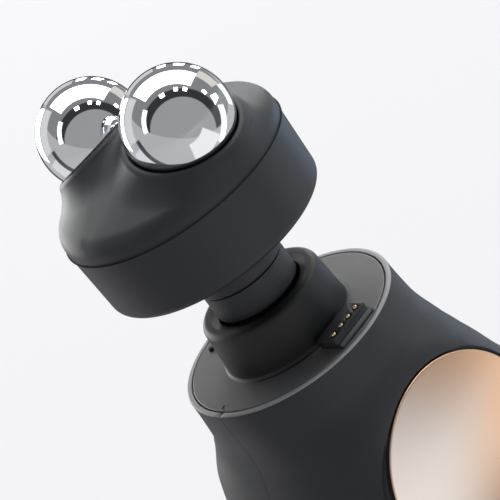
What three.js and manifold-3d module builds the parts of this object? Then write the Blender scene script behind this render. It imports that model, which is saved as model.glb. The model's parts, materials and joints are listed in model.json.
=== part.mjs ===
// Hand-held facial massager: a palm-sized body with a round platform, a neck, a percussion arm
// and a push-on head that carries two fixed ball electrodes.
// Millimetres, +Z up along the neck axis, front towards -Y, origin in the middle of the base.

import * as THREE from "three";
import { ConvexGeometry } from "three/addons/geometries/ConvexGeometry.js";
import { mergeVertices } from "three/addons/utils/BufferGeometryUtils.js";
import Module from "manifold-3d";

const wasm = await Module();
wasm.setup();

// Clearances
const FIT = 0.3; // between curved or sliding surfaces
const SEAM = 0.2; // between the two body shells
const CUT = 1; // how far a cutting tool runs past the face that it opens
const CURVE_CUT = 5; // and past a curved wall

// Body: height of the platform, walls, and half sizes at shares of the height
const BODY_H = 80;
const WALL = 2.2;
const SHELL_Z = 0.5; // the shells stop here, the foot reaches the ground
const FLOOR = 2.2;
const PLATFORM_R = 24;
const HALF_WIDTH = [
  [0, 26], [0.05, 30.5], [0.15, 34.6], [0.3, 36.4], [0.45, 34.8], [0.575, 31.5], [0.625, 29.8],
  [0.6875, 28.2], [0.75, 26.1], [0.8125, 24.4], [0.875, 23.9], [0.9375, 24], [1, PLATFORM_R],
];
const BACK_DEPTH = [
  [0, 18.5], [0.05, 23.5], [0.15, 28.4], [0.25, 30.6], [0.4, 31.4], [0.575, 31.5], [0.725, 30.7],
  [0.775, 28.6], [0.8125, 26.7], [0.84375, 25.2], [0.86875, 23.9], [0.9, 23.7], [1, PLATFORM_R],
];
const FRONT_DEPTH = [
  [0, 19.5], [0.05, 24.5], [0.15, 29], [0.3, 32], [0.45, 33], [0.575, 33], [0.7, 30], [0.8, 28.6],
  [0.9, 24.4], [1, PLATFORM_R],
];
const OUTER_ROWS = [
  0.0225, 0.05625, 0.125, 0.225, 0.35, 0.475, 0.5875, 0.675, 0.7375, 0.7875, 0.83125, 0.875, 0.93125, 1,
];
const INNER_ROWS = [0.0875, 0.175, 0.325, 0.5, 0.65, 0.75, 0.825, 0.875];
const ROUND_POWER = 2; // section at the platform: a circle
const SQUARE_POWER = 2.5; // section lower down: a squarer oval
const SQUARING_H = 20; // height over which the section squares
const FACET_BLEND = 1.5;
const BODY_SIDES = 36;
const CAVITY_SIDES = 20;
const INNER_BACK = 27.6; // the inside is flat behind the control panel
const INNER_FRONT = 22; // and behind the front disc

// Front disc and the flat facet that it lies in
const DISC_Z = 45;
const DISC_Y = 27.2;
const DISC_TILT = THREE.MathUtils.degToRad(2.7);
const DISC_R = 21.2;
const DISC_T = 2;
const DISC_CROWN = 0.9;
const DISC_PROUD = 0.25;
const DISC_EDGE = 0.35;
const GASKET_T = 0.5;
const GASKET_R = 15;
const GASKET_BAND = 4;

// Platform
const RIM_W = 1.1;
const PLATE_T = 2;
const LEDGE_W = 1.4;
const LEDGE_T = 2;
const PLATE_R = PLATFORM_R - RIM_W - FIT;

// Contact block on the platform, with four sprung pins
const BLOCK_W = 10.6;
const BLOCK_H = 2.2;
const BLOCK_BACK = 15.3;
const BLOCK_FRONT = PLATFORM_R - 3.6;
const STEP_H = 1;
const STEP_FRONT = PLATFORM_R - 2;
const PIN_PITCH = 2.5;
const PIN_COUNT = 4;
const PIN_Y = BLOCK_FRONT - 1.1;
const PIN_R = 0.5;
const PIN_TIP_R = 0.3;
const PIN_PROUD = 0.4;
const PIN_TRAVEL = 0.4;
const PIN_LENGTH = 5.2;
const CARRIER_WALL = 0.5;
const POST_X = 5.75;
const POST_Y = PLATFORM_R - 4.95;
const POST_R = 0.6;
const POST_PROUD = 0.8;
const POST_SUNK = 1.2;

// Neck housing
const NECK_H = 10.7;
const NECK_BASE_R = 14.2;
const NECK_MID_R = 13.9;
const NECK_MID_H = 5;
const NECK_TOP_R = 13.4;
const NECK_ROUND = 1.4;
const NECK_TOE = 0.8;
const NECK_BORE_R = 10.2;
const NECK_LEDGE_H = 3;
const NECK_LEDGE_R = 8.9;
const NECK_SPIGOT_R = 12.6;
const NECK_SPIGOT_T = 4;
const SEAL_T = 1.6;

// Percussion arm
const STROKE = 2; // each way
const SHAFT_R = 4;
const STEM_R = 9.3;
const STEM_Z = BODY_H + 11.4;
const STEM_ROUND = 1;
const STEM_TOP = BODY_H + 16.8;
const SPIGOT_R = 7;
const SPIGOT_H = 7;
const SPIGOT_ROOF = 2.6;
const BUSH_WALL = 2.3;
const BUSH_LOW = BODY_H - 14;
const BUSH_TOP = BODY_H - 2;
const WRIST_Z = BODY_H - 20;
const WRIST_R = 1.2;
const SHAFT_LOW = WRIST_Z - 3;
const FORK_GAP = 3.6;
const FORK_H = 7.5;

// Crank drive
const MOTOR_Z = 45;
const MOTOR_R = 11;
const MOTOR_LENGTH = 16.6;
const MOTOR_SHAFT_R = 1;
const MOTOR_SHAFT_INSET = 4; // from the back of the can
const MOTOR_NOSE_R = 3;
const CRANK_R = 7;
const CRANK_T = 3;
const CRANK_Y = 2.4;
const CRANK_HUB_R = 4.4;
const CRANK_FACE_T = 1.5; // solid in front of the motor shaft's end
const CRANK_PIN_R = 0.9;
const CRANK_PIN_DEPTH = 1;
const CRANK_PIN_PROUD = 0.5;
const ROD_T = 3;
const ROD_EYE_R = 3;
const ROD_SMALL_R = 2.8;
const ROD_WAIST = 2.6;

// Chassis
const CHASSIS_Y = 5.5;
const CHASSIS_T = 2;
const CHASSIS_HALF = 19;
const CHASSIS_LOW = 31.5;
const SHELF_Z = BODY_H - 16;
const SHELF_T = 2.2;
const SHELF_FRONT = 10;
const TUBE_WALL = 1.6;

// Case screws: they sit under the front disc and clamp the chassis between the shells
const SCREW_X = 15.5;
const SCREW_RISE = 9.5; // above and below the middle of the disc
const SCREW_R = 1.2;
const SCREW_HEAD_R = 2.3;
const SCREW_HEAD_T = 1.6;
const SCREW_HEAD_Y = 22.7;
const SCREW_BITE = 8;
const BOSS_R = 2.9;

// Battery
const CELL_R = 9;
const CELL_LENGTH = 50;
const CELL_Y = -12.2;
const CELL_Z = 21;
const CELL_CAP_R = 3;
const CELL_CAP_T = 1;
const TRAY_HALF = 20;
const TRAY_TOP = 17;
const TRAY_LOW = 9.2;
const TRAY_LEG_HALF = 9;
const TRAY_LEG_DEPTH = 5;
const TRAY_SIDE = 1.4;

// Main board, display and controls on the back
const BOARD_Y = 24.9;
const BOARD_T = 1.2;
const BOARD_HALF = 12;
const BOARD_LOW = 18.5;
const BOARD_TOP = 55.5;
const BOARD_SCREW_X = 9;
const BOARD_SCREW_Z = 21.5;
const BOARD_SCREW_R = 0.9;
const BOARD_HEAD_R = 1.7;
const BOARD_HEAD_T = 1.1;
const BOARD_SCREW_BITE = 1.8;
const PANEL_HALF = 9.5;
const PANEL_LOW = 19.5;
const PANEL_TOP = 55.5;
const PANEL_CORNER = 4;
const PANEL_FLOOR = 29.6;
const PANEL_T = 1.1;
const WINDOW_HALF = 5.8;
const WINDOW_LOW = 46.8;
const WINDOW_TOP = 53.4;
const WINDOW_CORNER = 1.2;
const WINDOW_LIP = 0.9;
const BUTTON_R = 2.6;
const BUTTON_TRAVEL = 0.5;
const BUTTON_PROUD = 0.6;
const BUTTON_STEM_R = 1;
const BUTTON_CLIP_R = 1.9;
const BUTTON_CLIP_T = 0.5;
const BUTTON_CROWN = 0.25;
const BUTTON_TOP_Z = 42.4;
const BUTTON_PITCH = 6.2;
const BUTTON_NAMES = ["button_plus", "button_mode", "button_minus", "button_power"];
const KEYPAD_HALF = 3;
const KEYPAD_T = 0.3;

// Charging socket low on the back
const PORT_Z = 8.7;
const PORT_HALF = 4.5;
const PORT_H = 3.2;
const PORT_WALL = 0.35;
const PORT_IN = 20.8;
const PORT_OUT = 26.4;
const TONGUE_HALF = 3.3;
const TONGUE_T = 0.7;
const PORT_BOARD_T = 1.2;
const PORT_BOARD_HALF = 6;
const PORT_BOARD_IN = 11;
const PORT_LEG_HALF = 5;
const PORT_LEG_DEPTH = 4;

// Foot under the base
const FOOT_SHARE = 0.72;
const FOOT_T = 1.4;

// Head
const HEAD_Z = BODY_H + 25.56;
const HEAD_LOW_R = 24.06;
const HEAD_FLARE = 0.62; // how much wider the head is at its shoulder
const HEAD_HIGH_R = HEAD_LOW_R + HEAD_FLARE;
const HEAD_SHOULDER_Z = BODY_H + 41.8;
const HEAD_SHOULDER_R = 4;
const HEAD_SEAM_Z = BODY_H + 40.7;
const HEAD_WALL = 2;
const HEAD_BOTTOM_T = 2;
const HEAD_LOW_ROUND = 1.7;
const HEAD_SIDES = 36;
const LIP_T = 1;
const LIP_H = 2.4;
const BOSS_HEAD_R = 9.65;
const BOSS_CHAMFER = 0.4;
const FLANGE_R = 13;
const FLANGE_T = 1.8;
const HEAD_POST_R = 2.2;
const HEAD_POST_PCD = 16;
const HEAD_POST_H = 4.5;
const HEAD_BOARD_R = 18.6;
const HEAD_BOARD_T = 1.4;
const HEAD_SCREW_R = 0.9;
const HEAD_SCREW_HEAD_R = 1.8;
const HEAD_SCREW_HEAD_T = 1.1;

// Balls, their sockets and studs
const BALL_R = 11;
const BALL_Y = 14;
const BALL_Z = BODY_H + 53.3;
const BALL_WALL = 1.6;
const BALL_TILT = THREE.MathUtils.degToRad(20);
const RIM_DROP = 2.4; // rim plane below the middle of the ball, along the tilted axis
const COLLAR_R = 12.4;
const COLLAR_FOOT_R = 12.85;
const COLLAR_ROUND = 0.9;
const COLLAR_H = 2.9;
const COLLAR_ROOT = 3; // how deep a collar reaches into the cover
const STUD_R = 2.5;
const STUD_END = 20;
const NUT_R = 4.4;
const NUT_T = 2.2;
const SEAL_R = 4.6;
const SEAL_DEPTH = 12;
const SOCKET_WALL = 2.8;

/** Reads a table of [position, value] as a smooth curve that never overshoots its points. */
function curve(table, at) {
  const last = table.length - 1;
  const place = Math.min(Math.max(at, table[0][0]), table[last][0]);
  let i = 0;
  while (i < last - 1 && place > table[i + 1][0]) i += 1;
  const slope = (k) => (table[k + 1][1] - table[k][1]) / (table[k + 1][0] - table[k][0]);
  const tangent = (k) => {
    if (k === 0) return slope(0);
    if (k === last) return slope(last - 1);
    const before = slope(k - 1);
    const after = slope(k);
    return before * after <= 0 ? 0 : (2 * before * after) / (before + after);
  };
  const [x0, y0] = table[i];
  const [x1, y1] = table[i + 1];
  const span = x1 - x0;
  const t = (place - x0) / span;
  const rise = tangent(i) * span;
  const fall = tangent(i + 1) * span;
  return (
    y0 * (1 + 2 * t) * (1 - t) ** 2 + rise * t * (1 - t) ** 2 +
    y1 * t * t * (3 - 2 * t) + fall * t * t * (t - 1)
  );
}

/** The lesser of two values, with the corner between them rounded over a width. */
function softMin(a, b, width) {
  const share = THREE.MathUtils.clamp(0.5 + (0.5 * (b - a)) / width, 0, 1);
  return b * (1 - share) + a * share - width * share * (1 - share);
}

/** Distance of the front facet from the neck axis at a height. */
function facetDepth(z) {
  return DISC_Y + (DISC_Z - z) * Math.tan(DISC_TILT);
}

/** Radius of the body in a direction, at a height: an oval whose front is drawn in to the facet. */
function bodyRadius(angle, z) {
  const across = Math.abs(Math.cos(angle));
  const along = Math.sin(angle);
  const share = z / BODY_H;
  const depth = curve(along < 0 ? FRONT_DEPTH : BACK_DEPTH, share);
  const squared = THREE.MathUtils.smoothstep(BODY_H - z, 0, SQUARING_H);
  const power = ROUND_POWER + (SQUARE_POWER - ROUND_POWER) * squared;
  const sum = (across / curve(HALF_WIDTH, share)) ** power + (Math.abs(along) / depth) ** power;
  const oval = sum ** (-1 / power);
  if (along > -0.05) return oval;
  return softMin(oval, facetDepth(z) / -along, FACET_BLEND);
}

/** A closed solid. Faces that were left pointing inward are turned round. */
function solid(geometry) {
  const bare = new THREE.BufferGeometry();
  bare.setAttribute("position", geometry.getAttribute("position"));
  bare.setIndex(geometry.index);
  const merged = mergeVertices(bare, 1e-4);
  const points = Float32Array.from(merged.getAttribute("position").array);
  const corners = merged.index.array;
  const faces = [];
  let volume = 0;
  const [a, b, c] = [new THREE.Vector3(), new THREE.Vector3(), new THREE.Vector3()];
  for (let i = 0; i < corners.length; i += 3) {
    const [p, q, r] = [corners[i], corners[i + 1], corners[i + 2]];
    if (p === q || q === r || r === p) continue;
    faces.push(p, q, r);
    a.fromArray(points, p * 3);
    b.fromArray(points, q * 3);
    c.fromArray(points, r * 3);
    volume += a.dot(b.cross(c));
  }
  if (volume < 0) faces.reverse();
  return new wasm.Manifold(
    new wasm.Mesh({ numProp: 3, vertProperties: points, triVerts: Uint32Array.from(faces) }),
  );
}

/** A body turned about the Z axis from a closed profile of [radius, height]. */
function turned(profile, sides) {
  const onAxis = profile[0][0] === 0 && profile.at(-1)[0] === 0;
  const points = (onAxis ? profile : [...profile, profile[0]]).map(([r, z]) => new THREE.Vector2(r, z));
  return solid(new THREE.LatheGeometry(points, sides).rotateX(Math.PI / 2));
}

/** A round bar along Z. */
function bar(radius, low, high, sides = 24) {
  return turned([[0, low], [radius, low], [radius, high], [0, high]], sides);
}

/** A round tube along Z. */
function tube(inner, outer, low, high, sides = 24) {
  return turned([[inner, low], [outer, low], [outer, high], [inner, high]], sides);
}

/** A rectangular block between two corners. */
function block(low, high) {
  const [a, b] = [new THREE.Vector3(...low), new THREE.Vector3(...high)];
  const size = b.clone().sub(a);
  const middle = a.add(b).multiplyScalar(0.5);
  return solid(new THREE.BoxGeometry(size.x, size.y, size.z).translate(middle.x, middle.y, middle.z));
}

/** A slab of an outline, from a low to a high level of Z. */
function slab(outline, low, high, arcSteps = 6) {
  const geometry = new THREE.ExtrudeGeometry(outline, {
    depth: high - low, bevelEnabled: false, curveSegments: arcSteps,
  });
  return solid(geometry.translate(0, 0, low));
}

/** Outline of a rectangle with round corners. */
function roundedRectangle(left, right, low, high, corner) {
  const outline = new THREE.Shape();
  outline.absarc(right - corner, low + corner, corner, -Math.PI / 2, 0);
  outline.absarc(right - corner, high - corner, corner, 0, Math.PI / 2);
  outline.absarc(left + corner, high - corner, corner, Math.PI / 2, Math.PI);
  outline.absarc(left + corner, low + corner, corner, Math.PI, Math.PI * 1.5);
  outline.closePath();
  return outline;
}

/** Turns a solid whose own axis is Z so that the axis points a new way, and sets its foot at a point. */
function placed(body, axis, foot) {
  const turn = new THREE.Quaternion().setFromUnitVectors(
    new THREE.Vector3(0, 0, 1), new THREE.Vector3(...axis).normalize(),
  );
  const matrix = new THREE.Matrix4().compose(new THREE.Vector3(...foot), turn, new THREE.Vector3(1, 1, 1));
  return body.transform(matrix.elements);
}

/** A slab drawn in X and Z on the back of the body, between two depths along +Y. */
function backSlab(outline, near, far, arcSteps) {
  // An outline point (x, z) is drawn as (x, -z), so that the turn about X brings it upright.
  const upright = new THREE.Matrix4().makeRotationX(-Math.PI / 2);
  return slab(outline, near, far, arcSteps).transform(upright.elements);
}

/** Outline for backSlab: a rounded rectangle between two heights. */
function backOutline(half, low, high, corner) {
  return roundedRectangle(-half, half, -high, -low, corner);
}

/** A closed skin through rings of points, one above the other, with both ends filled. */
function loft(rings) {
  const sides = rings[0].length;
  const points = rings.flat();
  const faces = [];
  for (let row = 0; row < rings.length - 1; row += 1) {
    for (let i = 0; i < sides; i += 1) {
      const next = (i + 1) % sides;
      const [a, b] = [row * sides + i, row * sides + next];
      faces.push(a, b, b + sides, a, b + sides, a + sides);
    }
  }
  const fillEnd = (row, flip) => {
    const ring = rings[row];
    const middle = ring.reduce((sum, p) => sum.add(p), new THREE.Vector3()).divideScalar(sides);
    points.push(middle);
    for (let i = 0; i < sides; i += 1) {
      const [a, b] = [row * sides + i, row * sides + ((i + 1) % sides)];
      faces.push(points.length - 1, flip ? b : a, flip ? a : b);
    }
  };
  fillEnd(0, true);
  fillEnd(rings.length - 1, false);
  const geometry = new THREE.BufferGeometry().setFromPoints(points);
  geometry.setIndex(faces);
  return solid(geometry);
}

/** One ring of the body's section at a height, drawn in by an inset. */
function bodyRing(z, inset, sides) {
  return Array.from({ length: sides }, (_, i) => {
    const angle = (2 * Math.PI * i) / sides;
    const radius = bodyRadius(angle, z) - inset;
    return new THREE.Vector3(radius * Math.cos(angle), radius * Math.sin(angle), z);
  });
}

// Finishes
const finish = (color, roughness, metalness = 0) =>
  new THREE.MeshStandardMaterial({ color, roughness, metalness });
const softBlack = finish(0x35363a, 0.55);
const plateGrey = finish(0x6c6d70, 0.5);
const gold = finish(0xdcbfa4, 0.35, 0.9);
const chrome = finish(0xd8d9dc, 0.06, 1);
const steel = finish(0xa8aaad, 0.35, 0.9);
const brass = finish(0xc9a349, 0.3, 0.9);
const rubber = finish(0x1c1c1e, 0.85);
const glossBlack = finish(0x0c0c0e, 0.12);
const boardGreen = finish(0x1d4a33, 0.6);
const cellWrap = finish(0x35608f, 0.5);
const nylon = finish(0xb9bab6, 0.6);

const massager = new THREE.Group();

/** Adds a named piece to a group. */
function add(group, name, body, material) {
  const mesh = body.getMesh();
  const geometry = new THREE.BufferGeometry();
  geometry.setAttribute("position", new THREE.BufferAttribute(mesh.vertProperties, 3));
  geometry.setIndex(new THREE.BufferAttribute(mesh.triVerts, 1));
  geometry.computeVertexNormals();
  const piece = new THREE.Mesh(geometry, material);
  piece.name = name;
  group.add(piece);
}

const discFoot = [0, -DISC_Y, DISC_Z];
const discNormal = [0, -Math.cos(DISC_TILT), Math.sin(DISC_TILT)];
const screwSpots = [-1, 1].flatMap((side) =>
  [-1, 1].map((rise) => [side * SCREW_X, DISC_Z + rise * SCREW_RISE]));
const boardScrewSpots = [-1, 1].map((side) => [side * BOARD_SCREW_X, BOARD_SCREW_Z]);
const chassisBack = CHASSIS_Y + CHASSIS_T;
const buttonHeights = BUTTON_NAMES.map((_, i) => BUTTON_TOP_Z - i * BUTTON_PITCH);
const plateLow = BODY_H - PLATE_T;
const portLow = PORT_Z - PORT_H / 2;
const portTop = PORT_Z + PORT_H / 2;
const footTop = FOOT_T + FIT;
const cavityLow = SHELL_Z + FLOOR;
const cavityTop = plateLow - LEDGE_T;
const halfSpace = 2 * PLATFORM_R; // half size of a block that takes in the whole body

/** A round bar along Y between two depths. */
function crossBar(radius, x, z, from, to, sides = 16) {
  return placed(bar(radius, 0, to - from, sides), [0, 1, 0], [x, from, z]);
}

/** The outside of the body as one solid. */
function bodyOuter() {
  const heights = [SHELL_Z, ...OUTER_ROWS.map((share) => share * BODY_H)];
  return loft(heights.map((z) => bodyRing(z, 0, BODY_SIDES)));
}

/** The room inside the body, with the seat of the platform plate at the top. */
function bodyInner() {
  const heights = [cavityLow, ...INNER_ROWS.map((share) => share * BODY_H), cavityTop];
  const room = loft(heights.map((z) => bodyRing(z, WALL, CAVITY_SIDES)));
  const flats = block([-halfSpace, -INNER_FRONT, 0], [halfSpace, INNER_BACK, BODY_H]);
  const seat = bar(PLATE_R + FIT, plateLow, BODY_H + CUT, BODY_SIDES);
  const mouth = bar(PLATE_R + FIT - LEDGE_W, cavityTop - CUT, BODY_H, BODY_SIDES);
  return room.intersect(flats).add(seat).add(mouth);
}

/** The foot's outline: the base section made smaller. */
function footSolid(grow, low, high) {
  const ring = (z) => bodyRing(0, 0, CAVITY_SIDES).map((p) => {
    const size = p.length();
    const scale = (size * FOOT_SHARE + grow) / size;
    return new THREE.Vector3(p.x * scale, p.y * scale, z);
  });
  return loft([ring(low), ring(high)]);
}

/** Everything that is cut out of the shells from outside. */
function shellCuts() {
  const pocketDepth = DISC_T + GASKET_T;
  const cuts = [
    placed(bar(DISC_R + FIT, -pocketDepth, WALL + DISC_T, BODY_SIDES), discNormal, discFoot),
    footSolid(FIT, -CUT, footTop),
    backSlab(backOutline(PANEL_HALF, PANEL_LOW, PANEL_TOP, PANEL_CORNER), PANEL_FLOOR, PANEL_FLOOR + CURVE_CUT),
    block([-WINDOW_HALF + WINDOW_LIP, INNER_BACK - CUT, WINDOW_LOW + WINDOW_LIP],
      [WINDOW_HALF - WINDOW_LIP, PANEL_FLOOR + CUT, WINDOW_TOP - WINDOW_LIP]),
    block([-PORT_HALF - FIT, PORT_IN - CUT, portLow - FIT],
      [PORT_HALF + FIT, PORT_OUT + CURVE_CUT, portTop + FIT]),
  ];
  for (const z of buttonHeights) {
    cuts.push(crossBar(BUTTON_STEM_R + FIT, 0, z, INNER_BACK - CUT, PANEL_FLOOR + CUT, 12));
  }
  return cuts.reduce((sum, cut) => sum.add(cut));
}

/** Front and back shell, split on the plane through the neck axis, with their screw bosses. */
function shells() {
  const outer = bodyOuter();
  const whole = outer.subtract(bodyInner()).subtract(shellCuts());
  const half = (side) => block(
    [-halfSpace, side < 0 ? -halfSpace : SEAM / 2, -CUT],
    [halfSpace, side < 0 ? -SEAM / 2 : halfSpace, BODY_H + CUT],
  );
  let front = whole.intersect(half(-1));
  let back = whole.intersect(half(1));
  for (const [x, z] of screwSpots) {
    const post = crossBar(BOSS_R, x, z, -INNER_FRONT - CUT, CHASSIS_Y - FIT);
    const hole = crossBar(SCREW_R + FIT, x, z, -DISC_Y, CHASSIS_Y + CUT);
    const sink = crossBar(SCREW_HEAD_R + FIT, x, z, -DISC_Y, -SCREW_HEAD_Y);
    front = front.add(post.intersect(outer)).subtract(hole).subtract(sink);
    const anchor = crossBar(BOSS_R, x, z, chassisBack + FIT, INNER_BACK + CUT);
    const thread = crossBar(SCREW_R + FIT, x, z, CHASSIS_Y, chassisBack + SCREW_BITE + 2 * FIT);
    back = back.add(anchor.intersect(outer)).subtract(thread);
  }
  for (const [x, z] of boardScrewSpots) {
    const face = BOARD_Y + BOARD_T;
    const stand = crossBar(BOARD_HEAD_R, x, z, face, INNER_BACK + CUT, 12);
    const thread = crossBar(BOARD_SCREW_R + FIT / 2, x, z, BOARD_Y, face + BOARD_SCREW_BITE + FIT, 10);
    back = back.add(stand.intersect(outer)).subtract(thread);
  }
  const leg = block(
    [-PORT_LEG_HALF, PORT_IN - FIT - 2 * PORT_LEG_DEPTH, cavityLow - CUT],
    [PORT_LEG_HALF, PORT_IN - FIT - PORT_LEG_DEPTH, portLow - PORT_BOARD_T],
  );
  back = back.add(leg);
  add(massager, "front_shell", front, softBlack);
  add(massager, "back_shell", back, softBlack);
}

/** Front disc with a crowned face, and the gasket under it. */
function frontDisc() {
  const crown = [0, 0.5, 0.8].map((share) => [
    (DISC_R - DISC_EDGE) * share, DISC_PROUD + DISC_CROWN * (1 - share * share),
  ]);
  const face = [
    ...crown,
    [DISC_R - DISC_EDGE, DISC_PROUD], [DISC_R, DISC_PROUD - DISC_EDGE], [DISC_R, -DISC_T], [0, -DISC_T],
  ];
  add(massager, "front_disc", placed(turned(face, BODY_SIDES), discNormal, discFoot), gold);
  const ring = tube(GASKET_R - GASKET_BAND, GASKET_R, -DISC_T - GASKET_T, -DISC_T, 24);
  add(massager, "disc_gasket", placed(ring, discNormal, discFoot), rubber);
}

/** Screws that clamp the front shell, the chassis and the back shell together. */
function caseScrews() {
  screwSpots.forEach(([x, z], i) => {
    const tip = chassisBack + SCREW_BITE;
    const head = crossBar(SCREW_HEAD_R, x, z, -SCREW_HEAD_Y - SCREW_HEAD_T, -SCREW_HEAD_Y, 12);
    const shank = crossBar(SCREW_R, x, z, -SCREW_HEAD_Y - SCREW_HEAD_T / 2, tip, 10);
    add(massager, `case_screw_${i + 1}`, head.add(shank), steel);
  });
}

/** Platform plate, with a hole for the neck and room for the contact pins. */
function platform() {
  let plate = tube(NECK_SPIGOT_R + FIT, PLATE_R, plateLow, BODY_H, BODY_SIDES);
  for (const x of pinPlaces) {
    plate = plate.subtract(moved(bar(PIN_R + FIT, plateLow - CUT, BODY_H + CUT, 10), x, -PIN_Y));
  }
  for (const side of [-1, 1]) {
    plate = plate.subtract(moved(bar(POST_R + FIT, BODY_H - POST_SUNK - FIT, BODY_H + CUT, 10),
      side * POST_X, POST_Y));
  }
  add(massager, "platform_plate", plate, plateGrey);
  for (const side of [-1, 1]) {
    const name = side < 0 ? "locating_pin_left" : "locating_pin_right";
    const peg = turned([
      [0, BODY_H - POST_SUNK], [POST_R, BODY_H - POST_SUNK], [POST_R, BODY_H + POST_PROUD - POST_R / 2],
      [POST_R / 2, BODY_H + POST_PROUD], [0, BODY_H + POST_PROUD],
    ], 12);
    add(massager, name, moved(peg, side * POST_X, POST_Y), rubber);
  }
}

/** Moves a solid sideways. */
function moved(body, x, y) {
  return body.translate([x, y, 0]);
}

const pinPlaces = Array.from({ length: PIN_COUNT }, (_, i) => (i - (PIN_COUNT - 1) / 2) * PIN_PITCH);

/** Contact block and its four sprung pins. */
function contacts() {
  const half = BLOCK_W / 2;
  const profile = new THREE.Shape([
    new THREE.Vector2(-BLOCK_BACK, BODY_H), new THREE.Vector2(-BLOCK_BACK, BODY_H + BLOCK_H),
    new THREE.Vector2(-BLOCK_FRONT, BODY_H + BLOCK_H), new THREE.Vector2(-BLOCK_FRONT, BODY_H + STEP_H),
    new THREE.Vector2(-STEP_FRONT + STEP_H / 2, BODY_H + STEP_H),
    new THREE.Vector2(-STEP_FRONT, BODY_H + STEP_H / 2), new THREE.Vector2(-STEP_FRONT, BODY_H),
  ]);
  const standing = new THREE.Matrix4().set(0, 0, 1, 0, 1, 0, 0, 0, 0, 1, 0, 0, 0, 0, 0, 1);
  let body = slab(profile, -half, half).transform(standing.elements);
  body = body.subtract(bar(NECK_BASE_R + NECK_TOE + FIT, BODY_H - CUT, BODY_H + BLOCK_H + CUT, 32));
  for (const x of pinPlaces) {
    body = body.subtract(moved(bar(PIN_R + FIT, BODY_H - CUT, BODY_H + BLOCK_H + CUT, 12), x, -PIN_Y));
  }
  add(massager, "contact_block", body, plateGrey);
  const tip = BODY_H + BLOCK_H + PIN_PROUD;
  pinPlaces.forEach((x, i) => {
    const pin = turned([
      [0, tip - PIN_LENGTH], [PIN_R, tip - PIN_LENGTH], [PIN_R, tip - PIN_R], [PIN_TIP_R, tip - PIN_R / 4],
      [0, tip],
    ], 12);
    add(massager, `contact_pin_${i + 1}`, moved(pin, x, -PIN_Y), brass);
  });
  const low = tip - PIN_LENGTH - PIN_TRAVEL - FIT;
  const outer = PIN_R + FIT + CARRIER_WALL;
  let carrier = block(
    [pinPlaces[0] - outer, -PIN_Y - outer, low - CARRIER_WALL],
    [pinPlaces.at(-1) + outer, -PIN_Y + outer, plateLow],
  );
  for (const x of pinPlaces) {
    carrier = carrier.subtract(moved(bar(PIN_R + FIT, low, plateLow + CUT, 10), x, -PIN_Y));
  }
  add(massager, "pin_carrier", carrier, rubber);
}

/** Neck housing, its seal, and the bushing that guides the arm. */
function neck() {
  const low = BODY_H - NECK_SPIGOT_T;
  const top = BODY_H + NECK_H;
  const corner = [0, 45, 90].map((degrees) => {
    const angle = THREE.MathUtils.degToRad(degrees);
    return [
      NECK_TOP_R - NECK_ROUND + NECK_ROUND * Math.cos(angle), top - NECK_ROUND + NECK_ROUND * Math.sin(angle),
    ];
  });
  add(massager, "neck_housing", turned([
    [NECK_LEDGE_R, low], [NECK_SPIGOT_R, low], [NECK_SPIGOT_R, BODY_H], [NECK_BASE_R + NECK_TOE, BODY_H],
    [NECK_BASE_R + NECK_TOE / 3, BODY_H + NECK_TOE / 3], [NECK_BASE_R, BODY_H + NECK_TOE],
    [NECK_MID_R, BODY_H + NECK_MID_H], ...corner, [NECK_BORE_R, top],
    [NECK_BORE_R, BODY_H + NECK_LEDGE_H], [NECK_LEDGE_R, BODY_H + NECK_LEDGE_H],
  ], 32), softBlack);
  const sealLow = BODY_H + NECK_LEDGE_H;
  add(massager, "neck_seal", turned([
    [SHAFT_R + FIT, sealLow + SEAL_T / 2], [NECK_LEDGE_R - FIT, sealLow], [NECK_BORE_R - FIT, sealLow],
    [NECK_BORE_R - FIT, sealLow + SEAL_T], [NECK_LEDGE_R - FIT, sealLow + SEAL_T / 2],
    [SHAFT_R + FIT, sealLow + SEAL_T],
  ], 20), rubber);
  const inner = SHAFT_R + FIT;
  add(massager, "shaft_bushing", tube(inner, inner + BUSH_WALL, BUSH_LOW, BUSH_TOP), nylon);
}

/** Chassis: a plate across the body, a shelf, and the tube that holds the bushing. */
function chassis() {
  const plate = backSlab(
    backOutline(CHASSIS_HALF, CHASSIS_LOW, SHELF_Z + SHELF_T, 3), CHASSIS_Y, chassisBack, 2,
  );
  const shelf = block([-SHELF_FRONT, -SHELF_FRONT, SHELF_Z], [SHELF_FRONT, chassisBack, SHELF_Z + SHELF_T]);
  const inner = SHAFT_R + FIT + BUSH_WALL + FIT;
  const guide = bar(inner + TUBE_WALL, SHELF_Z, BUSH_TOP, 24);
  let body = plate.intersect(block([-CHASSIS_HALF, 0, 0], [CHASSIS_HALF, BODY_H, SHELF_Z + SHELF_T]))
    .add(shelf).add(guide).subtract(bar(inner, BUSH_LOW, BUSH_TOP + CUT))
    .subtract(bar(SHAFT_R + FIT, SHELF_Z - CUT, BUSH_TOP));
  body = body.subtract(crossBar(MOTOR_NOSE_R + FIT, 0, MOTOR_Z, CHASSIS_Y - CUT, chassisBack + CUT));
  for (const [x, z] of screwSpots) {
    body = body.subtract(crossBar(SCREW_R + FIT, x, z, CHASSIS_Y - CUT, chassisBack + CUT, 10));
  }
  add(massager, "chassis", body, steel);
}

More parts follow.
